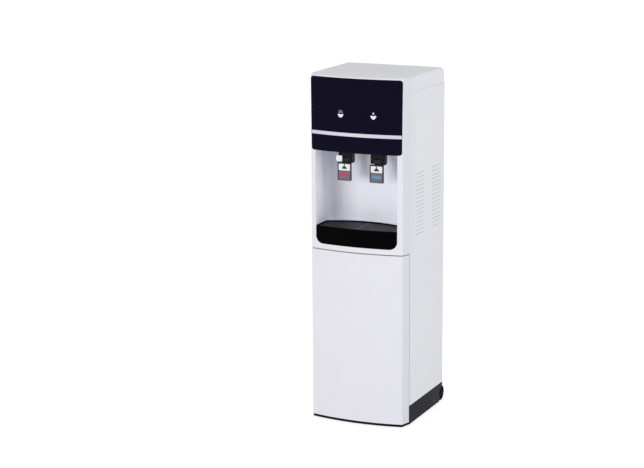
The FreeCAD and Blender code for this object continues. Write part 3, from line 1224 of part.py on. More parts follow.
def hot_tank():
    """Hollow tank with its drain pipe, which leaves through the back panel."""
    x, y = HOT_TANK
    r = HOT_RADIUS
    w = HOT_WALL
    outline = [(0, 4), (r - 12, 0), (r, 8), (r, HOT_HEIGHT - 12), (r - 10, HOT_HEIGHT - 4),
               (14, HOT_HEIGHT - 4), (14, HOT_HEIGHT), (0, HOT_HEIGHT)]
    room = [(0, 4 + w), (r - 12 - w / 2, w), (r - w, 8 + w / 2), (r - w, HOT_HEIGHT - 12 - w / 2),
            (r - 10 - w / 2, HOT_HEIGHT - 4 - w), (0, HOT_HEIGHT - 4 - w)]
    pipe = [(DRAIN_X, y, HOT_BOTTOM + 3), (DRAIN_X, y, DRAIN_Z), (DRAIN_X, DRAIN_END, DRAIN_Z)]
    drain, _ = bent_tube(pipe, DRAIN_RADIUS)
    bore, _ = bent_tube(pipe, DRAIN_BORE)
    body = turned(outline).translate(Vector(x, y, HOT_BOTTOM))
    inside = turned(room).translate(Vector(x, y, HOT_BOTTOM))
    ports = [rod(PORT_BORE, (FEED_X, y, HOT_BOTTOM - 1), Z_AXIS, 12),
             rod(PORT_BORE, (x, y - r - 1, HOT_PORT_Z), Y_AXIS, 2 * w + 1)]
    return join(body, drain).cut([inside, bore] + ports)


def heater_band():
    x, y = HOT_TANK
    band = ring(HOT_RADIUS + HEATER_THICK, HOT_RADIUS, (x, y, HOT_BOTTOM + HEATER_UP), Z_AXIS, HEATER_HEIGHT)
    lug_z = HOT_BOTTOM + HEATER_UP + HEATER_HEIGHT / 2
    lug = block(x + HOT_RADIUS + 1, x + HOT_RADIUS + 3 * HEATER_THICK, y - 2 * HEATER_THICK,
                y + 2 * HEATER_THICK, lug_z - HEATER_HEIGHT / 4, lug_z + HEATER_HEIGHT / 4)
    return join(band, lug)


def water_pump():
    width, _, height = PUMP_SIZE
    x0, x1 = PUMP_LEFT, PUMP_LEFT + width
    middle_z = DECK_TOP + height / 2
    body = rounded_block(x0, x1, PUMP_Y0, PUMP_Y1, DECK_TOP, DECK_TOP + height, 5, Y_AXIS)
    motor = rod(height / 2 - 4, ((x0 + x1) / 2, PUMP_Y1 - 1, middle_z), Y_AXIS, MOTOR_LENGTH)
    ports = [rod(PORT_RADIUS, (x, PUMP_Y0 - PORT_LENGTH, middle_z), Y_AXIS, PORT_LENGTH + 1)
             for x in (x0 + PUMP_PORT_IN, x1 - PUMP_PORT_IN)]
    return join(body, motor, *ports)


def water_lines():
    """Suction, supply to the cold tank, both tap lines and the hot tank's feed."""
    inlet_x = PUMP_LEFT + PUMP_PORT_IN
    outlet_x = PUMP_LEFT + PUMP_SIZE[0] - PUMP_PORT_IN
    port_y = PUMP_Y0 - PORT_LENGTH
    port_z = DECK_TOP + PUMP_SIZE[2] / 2
    bulk_x, bulk_y = BULKHEAD
    bulk_z = DECK_TOP + BULKHEAD_RISE
    lid = FOAM_TOP + TANK_LID
    tap_z = CEILING + WALL + SPIGOT - 1
    supply, cold, feed = [(TANK[0] + dx, TANK[1] + dy) for dx, dy in TANK_PORTS]
    hot_x = HOT_TANK[0]
    routes = [
        [(bulk_x, bulk_y, bulk_z), (bulk_x, bulk_y, bulk_z + 30), (inlet_x, bulk_y - 4, bulk_z + 30),
         (inlet_x, bulk_y - 4, port_z), (inlet_x, port_y, port_z)],
        [(outlet_x, port_y, port_z), (outlet_x, RISER_Y, port_z), (outlet_x, RISER_Y, lid + 22),
         (supply[0], RISER_Y, lid + 22), supply + (lid + 22,), supply + (lid,)],
        [cold + (lid,), cold + (lid + 38,), (TAP_X, TAP_Y, lid + 38), (TAP_X, TAP_Y, tap_z)],
        [(hot_x, HOT_TANK[1] - HOT_RADIUS, HOT_PORT_Z), (hot_x, RISER_Y + 2, HOT_PORT_Z),
         (hot_x, RISER_Y + 2, tap_z + 30), (-TAP_X, TAP_Y, tap_z + 30), (-TAP_X, TAP_Y, tap_z)],
        [feed + (lid,), feed + (lid + 20,), (DOWN_X, DOWN_Y, lid + 20), (DOWN_X, DOWN_Y, DRAIN_Z + 4),
         (FEED_X, HOT_TANK[1], DRAIN_Z + 4), (FEED_X, HOT_TANK[1], HOT_BOTTOM + 1)]]
    return [bent_tube(points, PORT_RADIUS)[0] for points in routes]


def shelf_holes():
    outlet_x = PUMP_LEFT + PUMP_SIZE[0] - PUMP_PORT_IN
    return [rod(PORT_RADIUS + 1, (x, y, 0), Z_AXIS, BIG)
            for x, y in ((outlet_x, RISER_Y), (HOT_TANK[0], RISER_Y + 2), (DOWN_X, DOWN_Y))]


def drain_cap():
    inner = DRAIN_RADIUS + RUNNING
    cup = ring(inner + CAP_WALL, inner, (DRAIN_X, DRAIN_END - CAP_DEPTH, DRAIN_Z), Y_AXIS, CAP_DEPTH)
    end = rod(inner + CAP_WALL, (DRAIN_X, DRAIN_END, DRAIN_Z), Y_AXIS, CAP_WALL)
    return join(cup, end)


save("tank_shelf", tank_shelf().cut(shelf_holes()))
save("hot_tank", hot_tank())
save("heater_band", heater_band())
save("water_pump", water_pump())
save("water_lines", *water_lines())
save("drain_cap", drain_cap())

# ---- electrics: control box, rear switches, power inlet, indicator board ----
SWITCH_BELOW = 95.0         # switches below the top
SWITCH_X = (72.0, 104.0)    # hot, cold
SWITCH_WIDTH = 22.0
SWITCH_HEIGHT = 30.0
ROCKER_RADIUS = 11.0
ROCKER_WIDTH = 14.0
ROCKER_GAP = 0.4
ROCKER_TILT = 6.0
INLET_X = -100.0
INLET_ABOVE = 92.8          # inlet above the deck
INLET_BODY = (28.0, 20.0)
INLET_BEZEL = (50.0, 24.0)
INLET_CAVITY = (24.0, 16.0)
BEZEL = 2.5
PCB = 1.6
BOX_LEFT_GAP = 24.3         # control box to the tank's foam
BOX_RIGHT_GAP = 14.5        # control box to the side panel
BOX_BACK_GAP = 21.6
BOX_DEPTH = 88.0
BOX_HEIGHT = 92.0
BOX_WALL = 2.0
POST_HEIGHT = 6.0
POST_RADIUS = 3.0
INDICATOR_HALF = 76.0
INDICATOR_RISE = 16.0
SWITCH_Z = TOP - SWITCH_BELOW
INLET_Z = DECK_TOP + INLET_ABOVE


def rear_box(x, z, width, height, grow=0.0):
    """Box through the back panel, as wide and high as the body of a switch or socket."""
    return block(x - width / 2 - grow, x + width / 2 + grow, PANEL_FRONT - 16, PANEL_BACK + BEZEL,
                 z - height / 2 - grow, z + height / 2 + grow)


def rocker_space(x, clear):
    half = ROCKER_WIDTH / 2 + clear
    drum = rod(ROCKER_RADIUS + clear, (x - half, PANEL_BACK, SWITCH_Z), X_AXIS, 2 * half)
    return drum


def switch_housings():
    bodies = []
    for x in SWITCH_X:
        body = rear_box(x, SWITCH_Z, SWITCH_WIDTH - 4, SWITCH_HEIGHT - 4)
        bezel = rounded_block(x - SWITCH_WIDTH / 2, x + SWITCH_WIDTH / 2, PANEL_BACK, PANEL_BACK + BEZEL,
                              SWITCH_Z - SWITCH_HEIGHT / 2, SWITCH_Z + SWITCH_HEIGHT / 2, 2, Y_AXIS)
        bodies.append(join(body, bezel).cut(rocker_space(x, ROCKER_GAP)))
    return bodies


def rocker(x):
    """Rocker cut from a drum about its own axis, tipped to its off position."""
    drum = rocker_space(x, 0)
    wide = 2 * ROCKER_RADIUS
    face = block(x - wide, x + wide, PANEL_BACK + 4.5, PANEL_BACK + wide, SWITCH_Z - wide, SWITCH_Z + wide)
    face.rotate(Vector(x, PANEL_BACK, SWITCH_Z), X_AXIS, -ROCKER_TILT)
    return drum.cut(face)


def inlet_plate(size, y0, y1):
    """Rounded block round the middle of the power inlet."""
    half_x, half_z = size[0] / 2, size[1] / 2
    return rounded_block(INLET_X - half_x, INLET_X + half_x, y0, y1, INLET_Z - half_z, INLET_Z + half_z,
                         3, Y_AXIS)


def power_inlet():
    body = rear_box(INLET_X, INLET_Z, *INLET_BODY)
    bezel = inlet_plate(INLET_BEZEL, PANEL_BACK, PANEL_BACK + BEZEL)
    cavity = inlet_plate(INLET_CAVITY, PANEL_FRONT - 13, PANEL_BACK + BEZEL + 1)
    blades = [block(INLET_X + dx - 1, INLET_X + dx + 1, PANEL_FRONT - 14, PANEL_BACK - 1,
                    INLET_Z + dz - 2, INLET_Z + dz + 2) for dx, dz in ((-7, -2), (0, 2), (7, -2))]
    return join(join(body, bezel).cut(cavity), *blades)


def control_box():
    """Open box on the shelf and the circuit board that stands on posts on its floor."""
    x0 = TANK[0] + TANK_RADIUS + FOAM + BOX_LEFT_GAP
    x1 = INNER_X - BOX_RIGHT_GAP
    y1 = PANEL_FRONT - BOX_BACK_GAP
    y0 = y1 - BOX_DEPTH
    floor_z = SHELF_TOP + BOX_WALL
    board_z = floor_z + POST_HEIGHT
    outer = rounded_block(x0, x1, y0, y1, SHELF_TOP, SHELF_TOP + BOX_HEIGHT, 2 * BOX_WALL, Z_AXIS)
    inner = rounded_block(x0 + BOX_WALL, x1 - BOX_WALL, y0 + BOX_WALL, y1 - BOX_WALL,
                          floor_z, SHELF_TOP + BOX_HEIGHT + 1, BOX_WALL, Z_AXIS)
    board = block(x0 + 6, x1 - 6, y0 + 10, y1 - 10, board_z, board_z + PCB)
    posts = [rod(POST_RADIUS, (x, y, floor_z), Z_AXIS, POST_HEIGHT)
             for x in (x0 + 12, x1 - 12) for y in (y0 + 16, y1 - 16)]
    top = board_z + PCB
    transformer = block(x0 + 14, x0 + 38, y0 + 20, y0 + 50, top, top + 28)
    relays = [block(x - 16, x, y0 + 20, y0 + 36, top, top + 16) for x in (x1 - 30, x1 - 10)]
    capacitor = rod(8, (x1 - 24, y1 - 28, top), Z_AXIS, 24)
    return [join(outer.cut(inner), *posts), join(board, transformer, capacitor, *relays)]


def indicator_board():
    """Board behind the lenses on four spacers."""
    y = CORNER_Y + 1
    z = FASCIA_BOTTOM + ICON_STEP
    board = block(-INDICATOR_HALF, INDICATOR_HALF, y, y + PCB, z - INDICATOR_RISE, z + INDICATOR_RISE)
    spacer_x = INDICATOR_HALF - 2 * POST_RADIUS
    spacer_z = INDICATOR_RISE - POST_RADIUS - 2
    y0 = bow_y(spacer_x + POST_RADIUS, FASCIA_SET + FASCIA_THICK + WALL)
    spacers = [rod(POST_RADIUS, (x, y0, z + dz), Y_AXIS, y - y0 + 0.5)
               for x in (-spacer_x, spacer_x) for dz in (-spacer_z, spacer_z)]
    return join(board, *spacers)


back_holes = [rod(COIL_RADIUS + 1, (COIL_INLET_X, 0, COIL_TOP), Y_AXIS, BIG),
              rod(COIL_RADIUS + 1, (DRIER[0], 0, COIL_BOTTOM), Y_AXIS, BIG),
              rod(DRAIN_RADIUS + FIT, (DRAIN_X, HOT_TANK[1], DRAIN_Z), Y_AXIS, BIG),
              rear_box(INLET_X, INLET_Z, *INLET_BODY, FIT)]
back_holes += [rear_box(x, SWITCH_Z, SWITCH_WIDTH - 4, SWITCH_HEIGHT - 4, FIT) for x in SWITCH_X]
save("back_panel", join(back_panel(back_holes), *coil_tabs()))
save("switch_housings", *switch_housings())
save("hot_switch", rocker(SWITCH_X[0]))
save("cold_switch", rocker(SWITCH_X[1]))
save("power_inlet", power_inlet())
save("control_box", *control_box())
save("indicator_board", indicator_board())
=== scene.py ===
import math
import bmesh
import bpy
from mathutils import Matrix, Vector


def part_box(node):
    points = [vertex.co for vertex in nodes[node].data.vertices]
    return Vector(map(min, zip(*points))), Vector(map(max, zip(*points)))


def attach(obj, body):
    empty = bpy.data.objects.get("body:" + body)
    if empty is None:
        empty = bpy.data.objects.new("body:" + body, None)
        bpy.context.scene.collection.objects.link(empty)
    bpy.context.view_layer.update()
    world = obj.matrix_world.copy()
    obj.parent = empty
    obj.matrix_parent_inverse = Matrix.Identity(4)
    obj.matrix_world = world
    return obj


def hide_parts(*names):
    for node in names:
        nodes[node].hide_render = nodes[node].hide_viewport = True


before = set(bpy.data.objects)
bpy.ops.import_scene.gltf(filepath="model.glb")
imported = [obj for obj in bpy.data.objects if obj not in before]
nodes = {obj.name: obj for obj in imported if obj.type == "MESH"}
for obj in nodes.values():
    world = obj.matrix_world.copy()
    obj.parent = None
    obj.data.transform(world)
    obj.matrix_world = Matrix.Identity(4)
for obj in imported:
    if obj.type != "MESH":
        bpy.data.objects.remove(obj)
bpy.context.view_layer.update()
scene = bpy.context.scene
scene.view_settings.view_transform = "Standard"

# ---- View, floor and light ----
# The camera stands where the photograph's perspective puts it: about 23 degrees to
# the right of the front and 13 degrees up, far off, so that uprights stay near parallel.
target = Vector((0.0, -0.012, 0.525))
turn, rise, distance = math.radians(23.2), math.radians(12.87), 5.717
back = Vector((math.sin(turn) * math.cos(rise), -math.cos(turn) * math.cos(rise), math.sin(rise)))
camera = bpy.data.objects.new("view_camera", bpy.data.cameras.new("view_camera"))
scene.collection.objects.link(camera)
camera.location = target + back * distance
camera.rotation_euler = back.to_track_quat("Z", "Y").to_euler()
camera.data.lens = 102.7
camera.data.sensor_width = 36.0
camera.data.shift_x = -0.0843
camera.data.shift_y = 0.0212
camera.data.clip_end = 60.0
scene.camera = camera


def new_piece(name, mesh):
    """A mesh as an object in the scene."""
    piece = bpy.data.objects.new(name, mesh)
    scene.collection.objects.link(piece)
    return piece


def new_material(name):
    """An empty node material with its shader and output joined."""
    material = bpy.data.materials.new(name)
    material.use_nodes = True
    tree = material.node_tree
    tree.nodes.clear()
    output = tree.nodes.new("ShaderNodeOutputMaterial")
    shader = tree.nodes.new("ShaderNodeBsdfPrincipled")
    tree.links.new(shader.outputs["BSDF"], output.inputs["Surface"])
    return material, tree, shader


# The floor is one sheet that bends up into the wall behind the object.
floor_mesh = bpy.data.meshes.new("studio_floor")
half_width, front_y, wall_y, wall_top = 9.0, -14.0, 5.0, 7.0
bend, bend_steps, floor_drop = 2.0, 12, 0.0005
profile = [(front_y, 0.0), (wall_y - bend, 0.0)]
for step in range(1, bend_steps + 1):
    angle = math.radians(90 * step / bend_steps)
    profile.append((wall_y - bend + bend * math.sin(angle), bend - bend * math.cos(angle)))
profile.append((wall_y, wall_top))
corners = [(x, y, z - floor_drop) for y, z in profile for x in (-half_width, half_width)]
strips = [(2 * i, 2 * i + 1, 2 * i + 3, 2 * i + 2) for i in range(len(profile) - 1)]
floor_mesh.from_pydata(corners, [], strips)
floor = new_piece("studio_floor", floor_mesh)
for face in floor.data.polygons:
    face.use_smooth = True


def looked_at(tree):
    """1 where the camera, a reflection or glass looks, else 0."""
    path = tree.nodes.new("ShaderNodeLightPath")
    total = path.outputs["Is Camera Ray"]
    for kind in ("Is Glossy Ray", "Is Transmission Ray"):
        join = tree.nodes.new("ShaderNodeMath")
        join.operation = "MAXIMUM"
        tree.links.new(total, join.inputs[0])
        tree.links.new(path.outputs[kind], join.inputs[1])
        total = join.outputs[0]
    return total


# The floor reads as white and still takes the object's soft shadow.
floor_paint, tree, shader = new_material("studio_floor")
shader.inputs["Roughness"].default_value = 0.9
shader.inputs["Specular IOR Level"].default_value = 0.0
seen = looked_at(tree)
tone = tree.nodes.new("ShaderNodeMix")
tone.data_type = "RGBA"
tone.inputs["A"].default_value = (0.86, 0.86, 0.87, 1)
tone.inputs["B"].default_value = (0.45, 0.45, 0.45, 1)
tree.links.new(seen, tone.inputs["Factor"])
tree.links.new(tone.outputs["Result"], shader.inputs["Base Color"])
glow = tree.nodes.new("ShaderNodeMath")
glow.operation = "MULTIPLY"
glow.inputs[1].default_value = 0.78
tree.links.new(seen, glow.inputs[0])
shader.inputs["Emission Color"].default_value = (1, 1, 1, 1)
tree.links.new(glow.outputs[0], shader.inputs["Emission Strength"])
floor.data.materials.append(floor_paint)

# The sky is dim where it lights the object and white where it is looked at.
world = bpy.data.worlds.new("studio")
scene.world = world
world.use_nodes = True
sky = world.node_tree
sky.nodes.clear()
world_out = sky.nodes.new("ShaderNodeOutputWorld")
background = sky.nodes.new("ShaderNodeBackground")
background.inputs["Color"].default_value = (0.97, 0.98, 1.0, 1)
strength = sky.nodes.new("ShaderNodeMapRange")
strength.inputs["To Min"].default_value = 0.42
strength.inputs["To Max"].default_value = 1.04
sky.links.new(looked_at(sky), strength.inputs["Value"])
sky.links.new(strength.outputs["Result"], background.inputs["Strength"])
sky.links.new(background.outputs["Background"], world_out.inputs["Surface"])


def soft_lamp(name, place, aim, size, power, tint):
    """A large rectangular lamp that looks at a point and isn't mirrored in glossy parts."""
    lamp = bpy.data.objects.new(name, bpy.data.lights.new(name, "AREA"))
    scene.collection.objects.link(lamp)
    lamp.data.shape = "RECTANGLE"
    lamp.data.size, lamp.data.size_y = size
    lamp.data.energy = power
    lamp.data.color = tint
    lamp.location = place
    lamp.rotation_euler = (Vector(place) - Vector(aim)).to_track_quat("Z", "Y").to_euler()
    lamp.visible_glossy = False


soft_lamp("front_lamp", (-1.9, -4.5, 1.1), (0, 0, 0.7), (2.6, 1.8), 112, (1.0, 0.99, 0.98))
soft_lamp("fill_lamp", (4.4, -1.0, 1.7), (0, 0, 0.5), (2.4, 3.0), 82, (0.98, 0.99, 1.0))
soft_lamp("top_lamp", (0.2, -0.2, 4.6), (0, 0, 0.9), (3.0, 3.0), 16, (1, 1, 1))

# ---- Suction hose ----
# A white silicone hose, 9 mm across. It leaves the bulkhead fitting under the deck,
# hangs in front of the bottle's shoulder and comes back to the collar on its neck.


def srgb(red, green, blue, alpha=1.0):
    """A colour as it is seen on a screen, 0 to 255, for a shader socket."""
    def linear(value):
        value /= 255
        return value / 12.92 if value <= 0.04045 else ((value + 0.055) / 1.055) ** 2.4
    return (linear(red), linear(green), linear(blue), alpha)


hose_route = [(-0.122, -0.020, 0.596), (-0.122, -0.020, 0.556), (-0.121, -0.050, 0.506),
              (-0.110, -0.092, 0.452), (-0.082, -0.128, 0.408), (-0.040, -0.148, 0.383),
              (0.008, -0.153, 0.377), (0.052, -0.144, 0.388), (0.088, -0.122, 0.418),
              (0.107, -0.088, 0.462), (0.112, -0.050, 0.508), (0.106, -0.020, 0.545),
              (0.088, -0.004, 0.572), (0.056, -0.004, 0.572)]
hose_diameter = 0.009
hose_curve = bpy.data.curves.new("suction_hose", "CURVE")
hose_curve.dimensions = "3D"
hose_curve.bevel_depth = hose_diameter / 2
hose_curve.bevel_resolution = 6
hose_curve.resolution_u = 24
hose_curve.use_fill_caps = True
line = hose_curve.splines.new("NURBS")
line.points.add(len(hose_route) - 1)
for point, place in zip(line.points, hose_route):
    point.co = (*place, 1.0)
line.order_u = 3
line.use_endpoint_u = True
hose = new_piece("suction_hose", hose_curve)
silicone, tree, shader = new_material("silicone")
shader.inputs["Base Color"].default_value = srgb(236, 240, 242)
shader.inputs["Roughness"].default_value = 0.32
shader.inputs["Subsurface Weight"].default_value = 0.25
shader.inputs["Subsurface Radius"].default_value = (0.004, 0.004, 0.004)
shader.inputs["Coat Weight"].default_value = 0.2
hose_curve.materials.append(silicone)
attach(hose, "cabinet")
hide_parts("feed_hose")

# ---- Base ----
# The base is one black injection moulding with a fine matt grain. The cabinet's
# sheet metal stands on its rim, and its front lip carries the lower hinge pin.


def coat(material, *names):
    """Gives CAD nodes their finish."""
    for name in names:
        nodes[name].data.materials.clear()
        nodes[name].data.materials.append(material)


def skin_group():
    """Moulded or coated surface: faint mottling, fine grain and uneven gloss."""
    group = bpy.data.node_groups.new("coated_skin", "ShaderNodeTree")
    face = group.interface
    face.new_socket("Colour", in_out="INPUT", socket_type="NodeSocketColor")
    face.new_socket("Deep Colour", in_out="INPUT", socket_type="NodeSocketColor")
    for name in ("Mottle Scale", "Mottle", "Grain Scale", "Grain", "Gloss Low", "Gloss High"):
        face.new_socket(name, in_out="INPUT", socket_type="NodeSocketFloat")
    face.new_socket("Colour", in_out="OUTPUT", socket_type="NodeSocketColor")
    face.new_socket("Roughness", in_out="OUTPUT", socket_type="NodeSocketFloat")
    face.new_socket("Normal", in_out="OUTPUT", socket_type="NodeSocketVector")
    make, link = group.nodes.new, group.links.new
    entry, leave = make("NodeGroupInput"), make("NodeGroupOutput")
    place = make("ShaderNodeTexCoord")
    cloud, grain = make("ShaderNodeTexNoise"), make("ShaderNodeTexNoise")
    cloud.inputs["Detail"].default_value = 3
    grain.inputs["Detail"].default_value = 2
    link(place.outputs["Object"], cloud.inputs["Vector"])
    link(place.outputs["Object"], grain.inputs["Vector"])
    link(entry.outputs["Mottle Scale"], cloud.inputs["Scale"])
    link(entry.outputs["Grain Scale"], grain.inputs["Scale"])
    amount = make("ShaderNodeMath")
    amount.operation = "MULTIPLY"
    link(cloud.outputs["Fac"], amount.inputs[0])
    link(entry.outputs["Mottle"], amount.inputs[1])
    mix = make("ShaderNodeMix")
    mix.data_type = "RGBA"
    link(amount.outputs[0], mix.inputs["Factor"])
    link(entry.outputs["Colour"], mix.inputs["A"])
    link(entry.outputs["Deep Colour"], mix.inputs["B"])
    gloss = make("ShaderNodeMapRange")
    link(cloud.outputs["Fac"], gloss.inputs["Value"])
    link(entry.outputs["Gloss Low"], gloss.inputs["To Min"])
    link(entry.outputs["Gloss High"], gloss.inputs["To Max"])
    bump = make("ShaderNodeBump")
    bump.inputs["Distance"].default_value = 0.0004
    link(entry.outputs["Grain"], bump.inputs["Strength"])
    link(grain.outputs["Fac"], bump.inputs["Height"])
    link(mix.outputs["Result"], leave.inputs["Colour"])
    link(gloss.outputs["Result"], leave.inputs["Roughness"])
    link(bump.outputs["Normal"], leave.inputs["Normal"])
    return group


coated_skin = skin_group()


def finish(name, colour, deep, mottle=(9, 0.5), grain=(1500, 0.1), gloss=(0.3, 0.45), **sockets):
    """A coated or moulded material from the shared skin, with its own values."""
    material, tree, shader = new_material(name)
    skin = tree.nodes.new("ShaderNodeGroup")
    skin.node_tree = coated_skin
    values = {"Colour": srgb(*colour), "Deep Colour": srgb(*deep), "Mottle Scale": mottle[0],
              "Mottle": mottle[1], "Grain Scale": grain[0], "Grain": grain[1],
              "Gloss Low": gloss[0], "Gloss High": gloss[1]}
    for socket, value in values.items():
        skin.inputs[socket].default_value = value
    tree.links.new(skin.outputs["Colour"], shader.inputs["Base Color"])
    tree.links.new(skin.outputs["Roughness"], shader.inputs["Roughness"])
    tree.links.new(skin.outputs["Normal"], shader.inputs["Normal"])
    for socket, value in sockets.items():
        shader.inputs[socket.replace("_", " ")].default_value = value
    return material


base_black = finish("base_black", (12, 12, 26), (7, 7, 17), grain=(1100, 0.35), gloss=(0.42, 0.6),
                    Specular_IOR_Level=0.08)
coat(base_black, "base_tray", "catch_blocks")

# ---- Floor plate ----
# White powder coated steel that the bottle stands on, with an apron at the front
# around the two black catch blocks.
floor_white = finish("floor_white", (232, 233, 236), (216, 218, 222), grain=(1800, 0.2),
                     gloss=(0.35, 0.5))
coat(floor_white, "floor_plate")

# ---- Feet and wheels ----
# Rubber pads on threaded studs under the front, and two moulded transport wheels
# on blackened axles at the rear. The same rubber serves for the compressor's grommets
# and the drain cap, and the same bright steel for the hinge pins and fittings.
rubber_black = finish("rubber_black", (34, 34, 36), (22, 22, 24), grain=(900, 0.5),
                      gloss=(0.6, 0.8))
wheel_black = finish("wheel_black", (13, 13, 26), (8, 8, 17), grain=(1000, 0.4), gloss=(0.4, 0.6),
                     Specular_IOR_Level=0.08)
steel = finish("steel", (196, 197, 200), (168, 170, 174), grain=(2400, 0.15), gloss=(0.22, 0.38),
               Metallic=1.0)
coat(rubber_black, "left_foot", "right_foot", "compressor_grommets", "drain_cap")
coat(wheel_black, "left_wheel", "right_wheel", "wheel_axles")
coat(steel, "hinge_pins", "hose_bulkhead", "door_strikes")

# ---- Side and back panels ----
# Folded sheet steel with a near white powder coat, which has a very fine orange
# peel. The louvres at the sides are narrow slots with hoods pressed inwards.
panel_steel = finish("panel_steel", (232, 232, 235), (224, 224, 228), mottle=(5, 0.6),
                     grain=(700, 0.06), gloss=(0.34, 0.46))
coat(panel_steel, "left_side_panel", "right_side_panel", "back_panel")

# ---- Back panel screws ----
# Zinc plated pan head screws with a cross recess, which go through the back panel's
# edges into the side panels' rear flanges.


def screw_mesh(radius, height, sides=32):
    """A pan head that faces +Y, cut by a cross recess."""
    form = bmesh.new()
    rings = [[form.verts.new((0, height, 0))]]
    turns = [2 * math.pi * step / sides for step in range(sides)]
    for share in (0.45, 0.75, 0.93, 1.0):
        drop = height * (1 - math.sqrt(1 - share ** 2))
        rings.append([form.verts.new((radius * share * math.cos(angle), height - drop,
                                      radius * share * math.sin(angle))) for angle in turns])
    for inner, outer in zip(rings, rings[1:]):
        for step in range(sides):
            after = (step + 1) % sides
            face = [inner[step % len(inner)], outer[step], outer[after], inner[after % len(inner)]]
            form.faces.new(list(dict.fromkeys(face)))
    form.faces.new(rings[-1][::-1])
    bmesh.ops.recalc_face_normals(form, faces=form.faces)
    head = bpy.data.meshes.new("panel_screw")
    form.to_mesh(head)
    form.free()
    arm_length, arm_width, depth = radius * 0.62, radius * 0.13, height * 0.45
    cutter = bpy.data.meshes.new("screw_recess")
    form = bmesh.new()
    for wide, tall in ((arm_length, arm_width), (arm_width, arm_length)):
        bar = bmesh.ops.create_cube(form, size=2.0)["verts"]
        bmesh.ops.scale(form, verts=bar, vec=(wide, depth, tall))
        bmesh.ops.translate(form, verts=bar, vec=(0, height, 0))
    form.to_mesh(cutter)
    form.free()
    blank, tool = new_piece("screw_blank", head), new_piece("screw_tool", cutter)
    cut = blank.modifiers.new("recess", "BOOLEAN")
    cut.object = tool
    cut.solver = "EXACT"
    cut.use_self = True
    seen = blank.evaluated_get(bpy.context.evaluated_depsgraph_get())
    made = bpy.data.meshes.new_from_object(seen)
    bpy.data.objects.remove(blank)
    bpy.data.objects.remove(tool)
    return made


screw_radius, screw_height, screw_x, screw_y = 0.0038, 0.0022, 0.147, 0.152
screw_levels = (0.14, 0.38, 0.62, 0.86, 1.01)
screw_head = screw_mesh(screw_radius, screw_height)
screw_head.materials.append(steel)
for word, side in (("left", -1), ("right", 1)):
    for number, height in enumerate(screw_levels):
        screw = new_piece(f"panel_screw_{word}_{number}", screw_head)
        screw.location = (side * screw_x, screw_y, height)
        screw.rotation_euler = (0, math.radians(17 + 31 * number + 50 * side), 0)
        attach(screw, "cabinet")

# ---- Housing, alcove, top cover and door skin ----
# Satin white mouldings with a faint lavender cast: the housing that frames the alcove,
# the alcove's liner, the cover on top and the bowed door. The door's liner is matt.
# The liner is really the housing's white. Its colour is painted lighter and bluer as
# painted light, to brighten the recess that the lamps reach less.
cabinet_white = finish("cabinet_white", (229, 228, 234), (221, 220, 228), mottle=(4, 0.6),
                       grain=(1600, 0.05), gloss=(0.24, 0.36), Specular_IOR_Level=0.35)
# Painted light: the alcove's colour is lighter than the housing's to stand in for light inside the
# recess.
alcove_white_painted_light = finish("alcove_white_painted_light", (246, 247, 254), (240, 242, 252), mottle=(4, 0.6),
                      grain=(1600, 0.05), gloss=(0.3, 0.42))
cover_white = finish("cover_white", (232, 232, 236), (226, 226, 230), mottle=(4, 0.6),
                     grain=(1600, 0.05), gloss=(0.3, 0.42), Specular_IOR_Level=0.3)
door_inner_white = finish("door_inner_white", (226, 226, 230), (214, 214, 220), grain=(1000, 0.3),
                          gloss=(0.45, 0.6))
coat(cabinet_white, "front_housing", "door_panel")
coat(alcove_white_painted_light, "alcove_liner")
coat(cover_white, "top_cover")
coat(door_inner_white, "door_liner")
bush_white = finish("bush_white", (222, 222, 216), (206, 206, 200), grain=(1500, 0.2),
                    gloss=(0.4, 0.5))
coat(bush_white, "door_bushes", "tap_nuts")

# ---- Fascia ----
# A glossy near black panel with a navy cast, let into the housing, with a silver trim
# line across it and two lenses behind the signs.
fascia_gloss = finish("fascia_gloss", (13, 9, 32), (8, 6, 22), mottle=(3, 0.5), grain=(400, 0.01),
                      gloss=(0.05, 0.09), Specular_IOR_Level=0.04)
silver_trim = finish("silver_trim", (212, 209, 219), (200, 197, 208), grain=(2600, 0.08),
                     gloss=(0.25, 0.35), Metallic=0.2)
coat(fascia_gloss, "fascia_panel", "indicator_lenses")
coat(silver_trim, "fascia_trim")

# ---- Taps ----
# Black moulded tap bodies that hang from the alcove's ceiling, and grey levers with a
# label insert. The levers are black above the foot of the tap's barrel, which hides
# their pivots. The child lock's button is white.
tap_black = finish("tap_black", (22, 19, 25), (14, 12, 16), grain=(1200, 0.15), gloss=(0.2, 0.34),
                   Specular_IOR_Level=0.1)
lever_grey = finish("lever_grey", (68, 63, 72), (54, 50, 58), grain=(1300, 0.3), gloss=(0.35, 0.5),
                    Specular_IOR_Level=0.3)
button_white = finish("button_white", (238, 238, 240), (228, 228, 232), grain=(1500, 0.1),
                      gloss=(0.22, 0.32))
label_white = finish("label_white", (236, 236, 238), (226, 226, 230), grain=(2500, 0.04),
                     gloss=(0.15, 0.25))
black_from_z = 0.8066
tree = lever_grey.node_tree
shader = tree.nodes["Principled BSDF"]
place, split = tree.nodes.new("ShaderNodeTexCoord"), tree.nodes.new("ShaderNodeSeparateXYZ")
above, paint = tree.nodes.new("ShaderNodeMath"), tree.nodes.new("ShaderNodeMix")
above.operation = "GREATER_THAN"
above.inputs[1].default_value = black_from_z
paint.data_type = "RGBA"
paint.inputs["B"].default_value = srgb(20, 17, 22)
tree.links.new(place.outputs["Object"], split.inputs["Vector"])
tree.links.new(split.outputs["Z"], above.inputs[0])
tree.links.new(above.outputs[0], paint.inputs["Factor"])
tree.links.new(shader.inputs["Base Color"].links[0].from_socket, paint.inputs["A"])
tree.links.new(paint.outputs["Result"], shader.inputs["Base Color"])
coat(tap_black, "hot_tap", "cold_tap")
coat(lever_grey, "hot_lever", "cold_lever")
coat(button_white, "lock_button")
coat(label_white, "hot_lever_label", "cold_lever_label")

